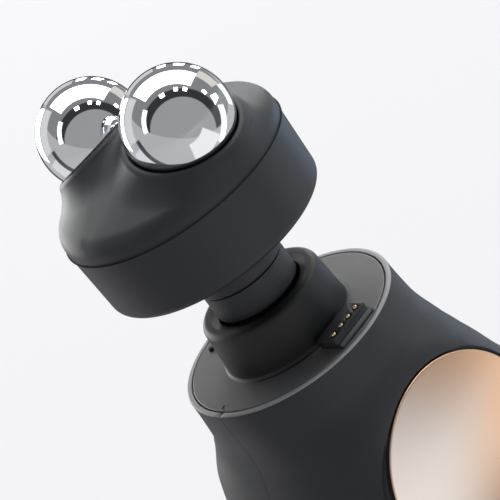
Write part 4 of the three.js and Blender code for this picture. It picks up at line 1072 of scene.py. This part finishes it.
class MASSAGER_OT_platform(bpy.types.Operator):
    """Platform plate, its locating pins, the contact block and the sprung pins"""

    bl_idname = "massager.platform"
    bl_label = "Platform"

    def execute(self, context):
        sockets = Shape()
        for x in PIN_PLACES:
            sockets.turned(rounded_mm(PIN_HOLE), 32, moved(x, PIN_Y))
        top = Shape().turned(rounded_mm(PLATE), 192)
        opened(piece("platform_top", top, "body", "plate_grey", ["platform_plate"]), sockets)
        rows = np.array([[(x, y, z) for y, z in BLOCK_SIDE] for x in (-BLOCK_HALF, BLOCK_HALF)])
        ends = [BLOCK_MIDDLE + [x, 0, 0] for x in (-BLOCK_HALF, BLOCK_HALF)]
        block = Shape().grid(rows, around=True, start=ends[0], end=ends[1])
        block = piece("contact_step", block, "body", "plate_grey", ["contact_block"])
        softened(opened(block, sockets), BLOCK_EDGE)
        for i, x in enumerate(PIN_PLACES, 1):
            pin = Shape().turned(rounded_mm(SPRUNG_PIN), 32, moved(x, PIN_Y))
            piece(f"sprung_contact_pin_{i}", pin, f"pin_{i}", "contact_gold", [f"contact_pin_{i}"])
        for side, word in ((-1, "left"), (1, "right")):
            peg = Shape().turned(rounded_mm(PEG), 32, moved(side * PEG_PLACE[0], PEG_PLACE[1]))
            piece("peg_" + word, peg, "body", "rubber", ["locating_pin_" + word])
        return {"FINISHED"}


class MASSAGER_OT_neck(bpy.types.Operator):
    """Neck housing with its toe, the arm's stem and the boss of the head"""

    bl_idname = "massager.neck"
    bl_label = "Neck and stem"

    def execute(self, context):
        turn = quarter(7)
        radius, height, hollow = TOE
        toe = np.stack([radius - hollow * np.sin(turn), height - hollow * np.cos(turn)], -1) * MM
        neck = Shape().turned(np.concatenate([toe, rounded_mm(NECK, 8)[1:]]), 160)
        piece("neck_collar", neck, "body", "soft_black", ["neck_housing"])
        piece("arm_stem", Shape().turned(rounded_mm(STEM), 128), "arm", "soft_black", ["arm_cap"])
        piece("head_socket", Shape().turned(rounded_mm(BOSS), 128), "head", "soft_black", ["head_boss"])
        return {"FINISHED"}


def head_wall(z):
    """Radius of the head's wall: it widens evenly from the bottom to the shoulder."""
    return HEAD_LOW_R + HEAD_FLARE * np.clip((z - HEAD_Z) / (SHOULDER_Z - HEAD_Z), 0, 1)


def tent_planes():
    """Planes of a skin pulled tight over the head: over the wall, a rounded shoulder and a ring at the foot of
    each collar. Rows of a normal and its distance from the origin."""
    angle = np.arange(360) * 2 * math.pi / 360
    ring = np.stack([np.cos(angle), np.sin(angle), np.zeros(360)], -1)
    rings = [ring * head_wall(TENT_Z) + [0, 0, TENT_Z]]
    for turn in np.radians(np.arange(0, 91, 4.5)):
        rings.append(ring * (HEAD_LOW_R + HEAD_FLARE - SHOULDER_R * (1 - math.cos(turn)))
                     + [0, 0, SHOULDER_Z + SHOULDER_R * math.sin(turn)])
    for side in (-1, 1):
        for turn in np.radians(np.arange(-20, 91, 10)):
            rings.append(carry(ring * (TENT_RING[0] + TENT_ROUND * math.cos(turn))
                               + [0, 0, TENT_RING[1] + TENT_ROUND * math.sin(turn)], ball_place(side)))
    points = np.concatenate(rings)
    mesh = bpy.data.meshes.new("tent")
    mesh.vertices.add(len(points))
    mesh.vertices.foreach_set("co", points.astype(np.float32).ravel())
    work = bmesh.new()
    work.from_mesh(mesh)
    bmesh.ops.convex_hull(work, input=work.verts)
    work.to_mesh(mesh)
    work.free()
    count = len(mesh.polygons)
    normal, centre, area = np.empty(count * 3), np.empty(count * 3), np.empty(count)
    for key, values in (("normal", normal), ("center", centre), ("area", area)):
        mesh.polygons.foreach_get(key, values)
    bpy.data.meshes.remove(mesh)
    keep = area > 1e-10
    normal, centre = normal.reshape(-1, 3)[keep], centre.reshape(-1, 3)[keep]
    outward = np.sign(((centre - COVER_MIDDLE) * normal).sum(1, keepdims=True))
    return np.concatenate([normal * outward, (centre * normal * outward).sum(1, keepdims=True)], 1)


def tent_reach(planes, start, directions):
    """Distance from start to the tent along each direction: the least of (offset - normal start) /
    (normal direction) over the planes that face the ray."""
    room = (planes[:, 3] - planes[:, :3] @ start)[:, None]
    reach = []
    for part in np.array_split(directions.reshape(-1, 3), RAY_PARTS):
        facing = planes[:, :3] @ part.T
        reach.append(np.where(facing > 1e-6, room / np.where(facing > 1e-6, facing, 1), 1).min(0))
    return np.concatenate(reach).reshape(directions.shape[:-1])


def tallest(planes, points):
    """The plane of the tent above which each point stands the most."""
    found = [(part @ planes[:, :3].T - planes[:, 3]).argmax(1)
             for part in np.array_split(points.reshape(-1, 3), RAY_PARTS)]
    return planes[np.concatenate(found)].reshape(*points.shape[:-1], 4)


def collar_field(points, side):
    """Signed distance to a collar: a cone about the ball's axis, cut off by the rim plane, whose top edge is
    an arc."""
    place = ball_place(side)
    local = (points - place[:3, 3]) @ place[:3, :3]
    level = local[..., 2]
    wall = COLLAR_R + COLLAR_FLARE * np.maximum(-RIM_DROP - COLLAR_ROUND - level, 0)
    across = np.hypot(local[..., 0], local[..., 1]) - wall + COLLAR_ROUND
    above = level + RIM_DROP + COLLAR_ROUND
    return (np.hypot(np.maximum(across, 0), np.maximum(above, 0)) + np.minimum(np.maximum(across, above), 0)
            - COLLAR_ROUND)


def pulled(planes, start, directions, low, fillet):
    """Where rays from a start leave the cover: the lesser of the distances to the tent and to both collars,
    with fillets between them that fade out towards the parting line. The tent's distance is that to the
    plane above which the last round's point stands the most."""
    reach = tent_reach(planes, start, directions)
    skin = start + directions * reach[..., None]
    for _ in range(TENT_ROUNDS):
        met = tallest(planes, skin)

        def field(t):
            points = start + directions * t[..., None]
            tent = (points * met[..., :3]).sum(-1) - met[..., 3]
            width = fillet * np.clip((points[..., 2] - low) / FILLET_RISE, FILLET_LEAST, 1)
            collars = soft_min(collar_field(points, -1), collar_field(points, 1), width)
            return soft_min(tent, collars, width)

        skin = start + directions * crossing(field, reach.shape, HEAD_REACH)[..., None]
    return skin


class MASSAGER_OT_head_cover(bpy.types.Operator):
    """Head cover: a skin pulled over the shoulder and both collars, which are joined to it by a fillet"""

    bl_idname = "massager.head_cover"
    bl_label = "Head cover"

    def execute(self, context):
        sizes = context.scene.massager_sizes
        planes = tent_planes()
        place = ball_place(-1)
        heart = carry(COVER_HEART, place)
        low = SEAM_Z + sizes.parting / 2
        edge_z = low + LIP_ROUND
        count = sizes.columns
        ends = np.linspace(0, 1, count, endpoint=False)
        sweep = -math.pi * (1 - ends)
        wall = head_wall(edge_z)
        bottom = np.stack([wall * np.cos(sweep), wall * np.sin(sweep), np.full(count, edge_z)], -1)
        first = math.atan2(edge_z - RIDGE_HEART[2], wall)
        rise = first + (math.pi - 2 * first) * (ends - RIDGE_EASE * np.sin(2 * math.pi * ends) / (2 * math.pi))
        ridge = np.stack([np.cos(rise), np.zeros(count), np.sin(rise)], -1)
        edge = np.concatenate([bottom, pulled(planes, RIDGE_HEART, ridge, low, sizes.fillet)])
        local = (edge - place[:3, 3]) @ place[:3, :3]
        angle = np.arctan2(local[:, 1], local[:, 0])
        ring = np.stack([np.cos(angle), np.sin(angle), np.zeros(2 * count)], -1)

        def at_collar(path):
            return carry(np.array([ring * r + [0, 0, h] for r, h in path]), place)

        dip = np.linspace(*[math.asin(r / SOCKET_R) for r in SOCKET_SPAN], 10)
        socket = [(SOCKET_R * math.cos(t), -SOCKET_R * math.sin(t)) for t in dip]
        mouth = math.sqrt(SOCKET_R ** 2 - RIM_DROP ** 2)
        socket += [(mouth + step, -RIM_DROP) for step in MOUTH_STEPS]
        outer = [(COLLAR_R - COLLAR_ROUND * (1 - math.sin(t)), -RIM_DROP - COLLAR_ROUND * (1 - math.cos(t)))
                 for t in quarter(8)]
        outer += [(COLLAR_R + COLLAR_FLARE * d * MM, -RIM_DROP - COLLAR_ROUND - d * MM) for d in (0.25, 0.5)]
        guide = at_collar(outer)
        shares = np.append(np.linspace(0, 1, sizes.rows + 12)[1:-1] ** 1.35, [COVER_GUARD, 1])
        directions = np.concatenate([unit(guide - heart),
                                     between(unit(guide[-1] - heart), unit(edge - heart), shares)])
        skin = pulled(planes, heart, directions, low, sizes.fillet)
        skin[-1, count:, 1] = 0
        half = np.concatenate([at_collar(socket), skin])
        last = skin[-1, :count + 1]
        flat = last * [1, 1, 0]
        size = np.linalg.norm(flat, axis=1, keepdims=True)
        curl = [(0, LIP_ROUND), (LIP_ROUND * 0.3, LIP_ROUND * 0.3), (LIP_ROUND, 0), *LIP_PATH]
        lip = np.array([flat / size * (size - d) + [0, 0, low + h] for d, h in curl])
        shape = Shape()
        for mirror in (1, -1):
            shape.grid(half * [1, mirror, 1], around=True, inner=COVER_MIDDLE)
            shape.grid(lip * [1, mirror, 1], inner=COVER_MIDDLE + [0, 0, 3 * MM])
        walled(piece("head_top", shape, "head", "soft_black", ["head_cover"], merged=True), sizes.wall)
        tongue = TONGUE + [head_wall(low) - TONGUE_GAP, low]
        piece("head_lip", Shape().turned(tongue, 128), "head", "soft_black", ["head_cover"])
        return {"FINISHED"}


class MASSAGER_OT_head_skirt(bpy.types.Operator):
    """Head skirt: the lower half of the head, with the posts that carry its board"""

    bl_idname = "massager.head_skirt"
    bl_label = "Head skirt"

    def execute(self, context):
        sizes = context.scene.massager_sizes
        top = SEAM_Z - sizes.parting / 2
        floor = HEAD_Z + HEAD_WALL_T
        wide = head_wall(top)
        wall = [(BOSS_HOLE, HEAD_Z), (HEAD_LOW_R, HEAD_Z), (wide, top), (wide - HEAD_WALL_T, top),
                (HEAD_LOW_R - HEAD_WALL_T, floor), (BOSS_HOLE, floor)]
        shape = Shape().turned(rounded(wall, [HOLE_ROUND, SKIRT_ROUND, LIP_ROUND, 0, 0, 0], 8), 192)
        inner, outer = POST_R
        post = [(inner, floor - SUNK), (outer, floor - SUNK), (outer, floor + POST_H), (inner, floor + POST_H)]
        for angle in np.arange(3) * 2 * math.pi / 3:
            shape.turned(post, 24, moved(POST_PLACE * math.cos(angle), POST_PLACE * math.sin(angle)))
        piece("head_drum", shape, "head", "soft_black", ["head_skirt"])
        return {"FINISHED"}


class MASSAGER_OT_balls(bpy.types.Operator):
    """Ball electrodes: polished balls, each on its stud"""

    bl_idname = "massager.balls"
    bl_label = "Ball electrodes"

    def execute(self, context):
        radius = context.scene.massager_sizes.ball_radius
        turn = np.linspace(0, math.pi - math.asin(STUD_R / radius), 96)
        line = np.concatenate([np.stack([radius * np.sin(turn), radius * np.cos(turn)], -1),
                               [[STUD_R, STUD_FOOT], [0, STUD_FOOT]]])
        line[0, 0] = 0
        for side, word in ((-1, "front"), (1, "rear")):
            piece("ball_" + word, Shape().turned(line, 160, ball_place(side)), "head", "chrome",
                  ["electrode_ball_" + word])
        return {"FINISHED"}


class MASSAGER_OT_controls(bpy.types.Operator):
    """Control panel with its window and four buttons"""

    bl_idname = "massager.controls"
    bl_label = "Controls"

    def execute(self, context):
        face = PANEL_FLOOR + PANEL_T
        outline = rectangle(-PANEL_HALF + FIT, PANEL_HALF - FIT, PANEL_LOW + FIT, PANEL_TOP - FIT,
                            PANEL_CORNER - FIT, 16)
        panel = Shape().carried(outline, edge_stations(PANEL_FLOOR, face, PANEL_EDGE), on_back)
        panel = piece("control_face", panel, "body", "gloss_black", ["control_panel"])
        through = (PANEL_FLOOR - MM, face + MM)
        gap = rectangle(-WINDOW_HALF - FIT, WINDOW_HALF + FIT, WINDOW_LOW - FIT, WINDOW_TOP + FIT,
                        WINDOW_CORNER + FIT)
        holes = Shape().carried(gap, [(0, level) for level in through], on_back)
        hole = [(0, through[0]), (BUTTON_HOLE_R, through[0]), (BUTTON_HOLE_R, through[1]), (0, through[1])]
        places = {}
        for name, z in BUTTON_HEIGHTS.items():
            places[name] = np.array([[1, 0, 0, 0], [0, 0, 1, 0], [0, -1, 0, z], [0, 0, 0, 1]], float)
            holes.turned(hole, 64, places[name])
        softened(opened(panel, holes), PANEL_BEVEL, 2)
        window = rectangle(-WINDOW_HALF, WINDOW_HALF, WINDOW_LOW, WINDOW_TOP, WINDOW_CORNER)
        window = Shape().carried(window, edge_stations(PANEL_FLOOR, face, WINDOW_EDGE), on_back)
        piece("window_pane", window, "body", "gloss_black", ["display_window"])
        top, low = face + BUTTON_RISE, PANEL_FLOOR + BUTTON_RISE
        reach, clip, thick = BUTTON_CLIP
        cap = rounded([(0, clip - thick), (reach, clip - thick), (reach, clip), (BUTTON_STEM_R, clip),
                       (BUTTON_STEM_R, low), (BUTTON_R, low), (BUTTON_R, top - DOME_H)],
                      [0, 0, 0, 0, 0, BUTTON_ROUND, 0])
        share = np.linspace(1, 0, 14)
        dome = np.stack([DOME_R * share, top - DOME_H * share ** 2], -1)
        line = np.concatenate([cap, [(BUTTON_R - 0.03 * MM, top - DOME_H - 0.01 * MM)], dome])
        for name, place in places.items():
            piece("cap_" + name, Shape().turned(line, 64, place), name + "_button", "soft_black",
                  ["button_" + name])
            self.mark(name, place, top)
        return {"FINISHED"}

    def mark(self, name, place, top):
        """A raised sign: a bead of half-round section carried along short paths."""
        reach = SIGN_REACH
        wide, high = SIGN_BEAD
        line = np.linspace(-1, 1, 9)[:, None]
        level = np.full_like(line, top - SIGN_SUNK)
        flat = np.concatenate([line * reach, line * 0, level], 1)
        tall = flat[:, [1, 0, 2]]
        turn = np.radians(np.linspace(*SIGN_RING, 33))[:, None]
        arc = np.concatenate([reach * np.cos(turn), reach * np.sin(turn), np.full_like(turn, level[0, 0])], 1)
        stub = tall * [1, 0.5, 1] - [0, SIGN_STUB, 0]
        dots = [flat * [0.12, 1, 1] + [x * MM, 0, 0] for x in SIGN_DOTS]
        paths = {"plus": [flat, tall], "minus": [flat], "power": [arc, stub], "mode": dots}[name]
        shape = Shape()
        for path in paths:
            side = np.cross(unit(np.gradient(path, axis=0)), [0, 0, 1])
            around = np.linspace(0, 2 * math.pi, 12, endpoint=False)[None, :, None]
            rows = (path[:, None] + wide * np.cos(around) * side[:, None]
                    + high * np.sin(around) * np.array([0, 0, 1]))
            start, end = carry(path[[0, -1]], place)
            shape.grid(carry(rows, place), around=True, start=start, end=end)
        piece("sign_" + name, shape, name + "_button", "nylon")


class MASSAGER_OT_foot(bpy.types.Operator):
    """Soft foot: the base outline made smaller, with rounded edges"""

    bl_idname = "massager.foot"
    bl_label = "Foot"

    def execute(self, context):
        angle = np.arange(160) * 2 * math.pi / 160
        outline = body_radius(angle, np.zeros(160)) * FOOT_SHARE
        rows = [np.stack([(outline - inset) * np.cos(angle), (outline - inset) * np.sin(angle),
                          np.full(160, level)], -1) for inset, level in edge_stations(0, FOOT_T, FOOT_EDGE)]
        foot = Shape().grid(np.array(rows), around=True, start=(0, 0, 0), end=(0, 0, FOOT_T))
        piece("soft_foot", foot, "body", "rubber", ["base_foot"])
        return {"FINISHED"}


class MASSAGER_OT_inner_parts(bpy.types.Operator):
    """Finishes for the parts that keep the shape of their solids"""

    bl_idname = "massager.inner_parts"
    bl_label = "Inner parts"

    def execute(self, context):
        slots = {row["node"]: row["material_slot"] for row in frame["record"]["subparts"]}
        for name, node in frame["nodes"].items():
            if name not in slots:
                raise RuntimeError(f"the record gives {name} no material slot")
            node.data.materials.clear()
            node.data.materials.append(finish(slots[name]))
        return {"FINISHED"}


def view_axes():
    """The camera's right, up and backward directions, from its azimuth, its rise and its roll."""
    a, e, r = VIEW_AZIMUTH, VIEW_RISE, VIEW_ROLL
    back = np.array([math.sin(a) * math.cos(e), -math.cos(a) * math.cos(e), math.sin(e)])
    right = np.array([math.cos(a), math.sin(a), 0])
    up = np.cross(back, right)
    return (math.cos(r) * right + math.sin(r) * up, -math.sin(r) * right + math.cos(r) * up, back)


def from_camera(t, p, reach):
    """Points at a reach from AIM: t is the angle from the camera's direction, p that about it."""
    sphere = np.stack([np.sin(t) * np.cos(p), np.sin(t) * np.sin(p), np.cos(t)], -1)
    return AIM + sphere * reach @ np.array(view_axes())


class MASSAGER_OT_stage(bpy.types.Operator):
    """Floor, world, lamps and camera"""

    bl_idname = "massager.stage"
    bl_label = "Stage"

    def execute(self, context):
        stage = context.scene.massager_stage
        scene = context.scene
        scene.view_settings.view_transform = "Standard"
        side = np.linspace(-FLOOR_HALF, FLOOR_HALF, 13)
        x, y = np.meshgrid(side, side)
        paper = Shape().grid(np.stack([x, y, np.zeros_like(x)], -1), inner=np.array([0, 0, -1.0]))
        floor = linked("floor", paper.mesh("floor"))
        made, g = paint("floor_paper")
        direct, mirrored = self.seen(g)
        towards = g.node("ShaderNodeVectorMath", {"operation": "NORMALIZE"},
                         {0: g.place(move=(0, 0, MIRROR_HEIGHT))})
        shown = g.blend(mirrored, (0, 0, 0), self.studio(g, towards))
        g.surface(Base_Color=tuple(stage.floor), Roughness=0.9, Specular_IOR_Level=0.0,
                  Emission_Color=g.blend(direct, shown, tuple(stage.floor_glow)), Emission_Strength=1.0)
        floor.data.materials.append(made)
        self.surroundings(scene, stage)
        self.lamps(stage)
        self.camera(scene)
        return {"FINISHED"}

    def seen(self, g):
        """1 for rays straight from the camera, and 1 for rays by way of a mirror or of glass."""
        path = g.node("ShaderNodeLightPath")
        rays = [Wire(g, path.socket.node.outputs[name]) for name in
                ("Is Camera Ray", "Is Glossy Ray", "Is Transmission Ray")]
        return rays[0], rays[1].at_least(rays[2])

    def studio(self, g, towards):
        """The colour that a mirror shows in a direction. The angle t from the camera's direction is read by its
        cosine, and the angle about it by the cosine of the turn from a bar's middle, which is the direction's
        part along that middle, divided by sin t."""
        across, rise, facing = [
            g.node("ShaderNodeVectorMath", {"operation": "DOT_PRODUCT"}, {0: towards, 1: tuple(axis)}, output=1)
            for axis in view_axes()]
        around = ((1 - facing * facing).at_least(1e-6)) ** 0.5
        wall = (facing + across * WALL_SHIFT[0] + rise * WALL_SHIFT[1]) / math.hypot(1, *WALL_SHIFT)
        shade = g.blend(wall.step(*FRAME_EDGE), ROOM_GREY, FRAME_GREY)
        shade = g.blend(wall.step(*WALL_EDGE), shade, WALL_GREY)
        level = rise * math.cos(LEVEL_TILT) + facing * math.sin(LEVEL_TILT)
        shade = g.blend((-1 * level).step(*LEVEL_EDGE), shade, GROUND_GREY)
        shade = g.blend(facing.step(*BACK_EDGE), BACK_GREY, shade)

        def past(value, angle):
            return value.step(math.cos(angle + BAR_SOFT), math.cos(angle - BAR_SOFT))

        for grey, theta, phi in BARS:
            first, last = np.radians(theta)
            middle, half = math.radians(sum(phi) / 2), math.radians((phi[1] - phi[0]) / 2)
            turn = (across * math.cos(middle) + rise * math.sin(middle)) / around
            shade = g.blend(past(turn, half) * past(facing, last) * (1 - past(facing, first)), shade, grey)
        return shade

    def surroundings(self, scene, stage):
        """The world: pale for the camera, dim for the object's own light, and a studio for mirrors."""
        world = bpy.data.worlds.new("studio")
        scene.world = world
        world.use_nodes = True
        g = Graph(world.node_tree)
        direct, mirrored = self.seen(g)
        dim = g.blend(mirrored, (stage.ambient,) * 3, self.studio(g, g.node("ShaderNodeTexCoord")))
        shown = g.blend(direct, dim, tuple(stage.floor_glow))
        light = g.node("ShaderNodeBackground", None, {"Color": shown})
        g.node("ShaderNodeOutputWorld", None, {"Surface": light})

    def lamps(self, stage):
        """Lamps, which mirrors don't show, and panels, which nothing but mirrors shows."""
        for name, power, size, theta, phi, tint in LAMPS:
            light = bpy.data.lights.new(name, "AREA")
            light.shape = "RECTANGLE"
            light.size, light.size_y = size
            light.energy = power * stage.lamps
            light.color = tint
            obj = linked(name, light)
            place = from_camera(*np.radians([theta, phi]), LAMP_REACH)
            aim = Vector(AIM - place).normalized().to_track_quat("-Z", "Y")
            obj.matrix_world = Matrix.Translation(Vector(place)) @ aim.to_matrix().to_4x4()
            obj.visible_glossy = False
        for name, glow, theta, phi, tint in PANELS:
            t, p = np.meshgrid(np.radians(np.linspace(*theta, 13)), np.radians(np.linspace(*phi, 13)))
            panel = linked(name, Shape().grid(from_camera(t, p, PANEL_REACH), inner=AIM).mesh(name))
            panel.visible_camera = panel.visible_diffuse = panel.visible_shadow = False
            made, g = paint(name)
            g.node("ShaderNodeOutputMaterial", None, {"Surface": g.node(
                "ShaderNodeEmission", None, {"Color": (*tint, 1), "Strength": glow * stage.lamps})})
            panel.data.materials.append(made)

    def camera(self, scene):
        """The camera of the photo: a pinhole whose picture has the platform's middle at TARGET_PX."""
        right, up, back = view_axes()
        camera = bpy.data.cameras.new("photo_camera")
        camera.sensor_width = SENSOR
        camera.sensor_fit = "HORIZONTAL"
        camera.lens = FOCAL * SENSOR / FRAME_PX
        camera.clip_start, camera.clip_end = CLIP
        obj = linked("photo_camera", camera)
        across, down = (np.array(TARGET_PX) - FRAME_PX / 2) * VIEW_DISTANCE / FOCAL
        place = np.array([0, 0, BODY_H]) + back * VIEW_DISTANCE - right * across + up * down
        turn = Matrix([[*row] for row in np.stack([right, up, back], 1)]).to_4x4()
        obj.matrix_world = Matrix.Translation(Vector(place)) @ turn
        scene.camera = obj


class MASSAGER_PT_panel(bpy.types.Panel):
    """Lists the pieces and their settings"""

    bl_idname = "MASSAGER_PT_panel"
    bl_label = "Massager"
    bl_space_type = "VIEW_3D"
    bl_region_type = "UI"
    bl_category = "Massager"

    def draw(self, context):
        layout = self.layout
        for group in (context.scene.massager_sizes, context.scene.massager_looks, context.scene.massager_stage):
            box = layout.box()
            for name in group.__annotations__:
                box.prop(group, name)
        for operator in OPERATORS:
            layout.operator(operator.bl_idname)


GROUPS = {"massager_sizes": MassagerSizes, "massager_looks": MassagerLooks, "massager_stage": MassagerStage}
OPERATORS = (
    MASSAGER_OT_inner_parts, MASSAGER_OT_front_shell, MASSAGER_OT_back_shell, MASSAGER_OT_front_disc,
    MASSAGER_OT_platform, MASSAGER_OT_neck, MASSAGER_OT_head_skirt, MASSAGER_OT_head_cover, MASSAGER_OT_balls,
    MASSAGER_OT_controls, MASSAGER_OT_foot, MASSAGER_OT_stage,
)


def register():
    """Adds the classes and the settings."""
    for cls in (*GROUPS.values(), *OPERATORS, MASSAGER_PT_panel):
        bpy.utils.register_class(cls)
    for name, group in GROUPS.items():
        setattr(bpy.types.Scene, name, PointerProperty(type=group))


def unregister():
    """Takes the settings and the classes away again."""
    for name in GROUPS:
        delattr(bpy.types.Scene, name)
    for cls in reversed((*GROUPS.values(), *OPERATORS, MASSAGER_PT_panel)):
        bpy.utils.unregister_class(cls)


def main():
    """Builds every piece and the stage."""
    register()
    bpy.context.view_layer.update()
    for operator in OPERATORS:
        getattr(bpy.ops.massager, operator.bl_idname.split(".")[1])()


if __name__ == "__main__":
    main()
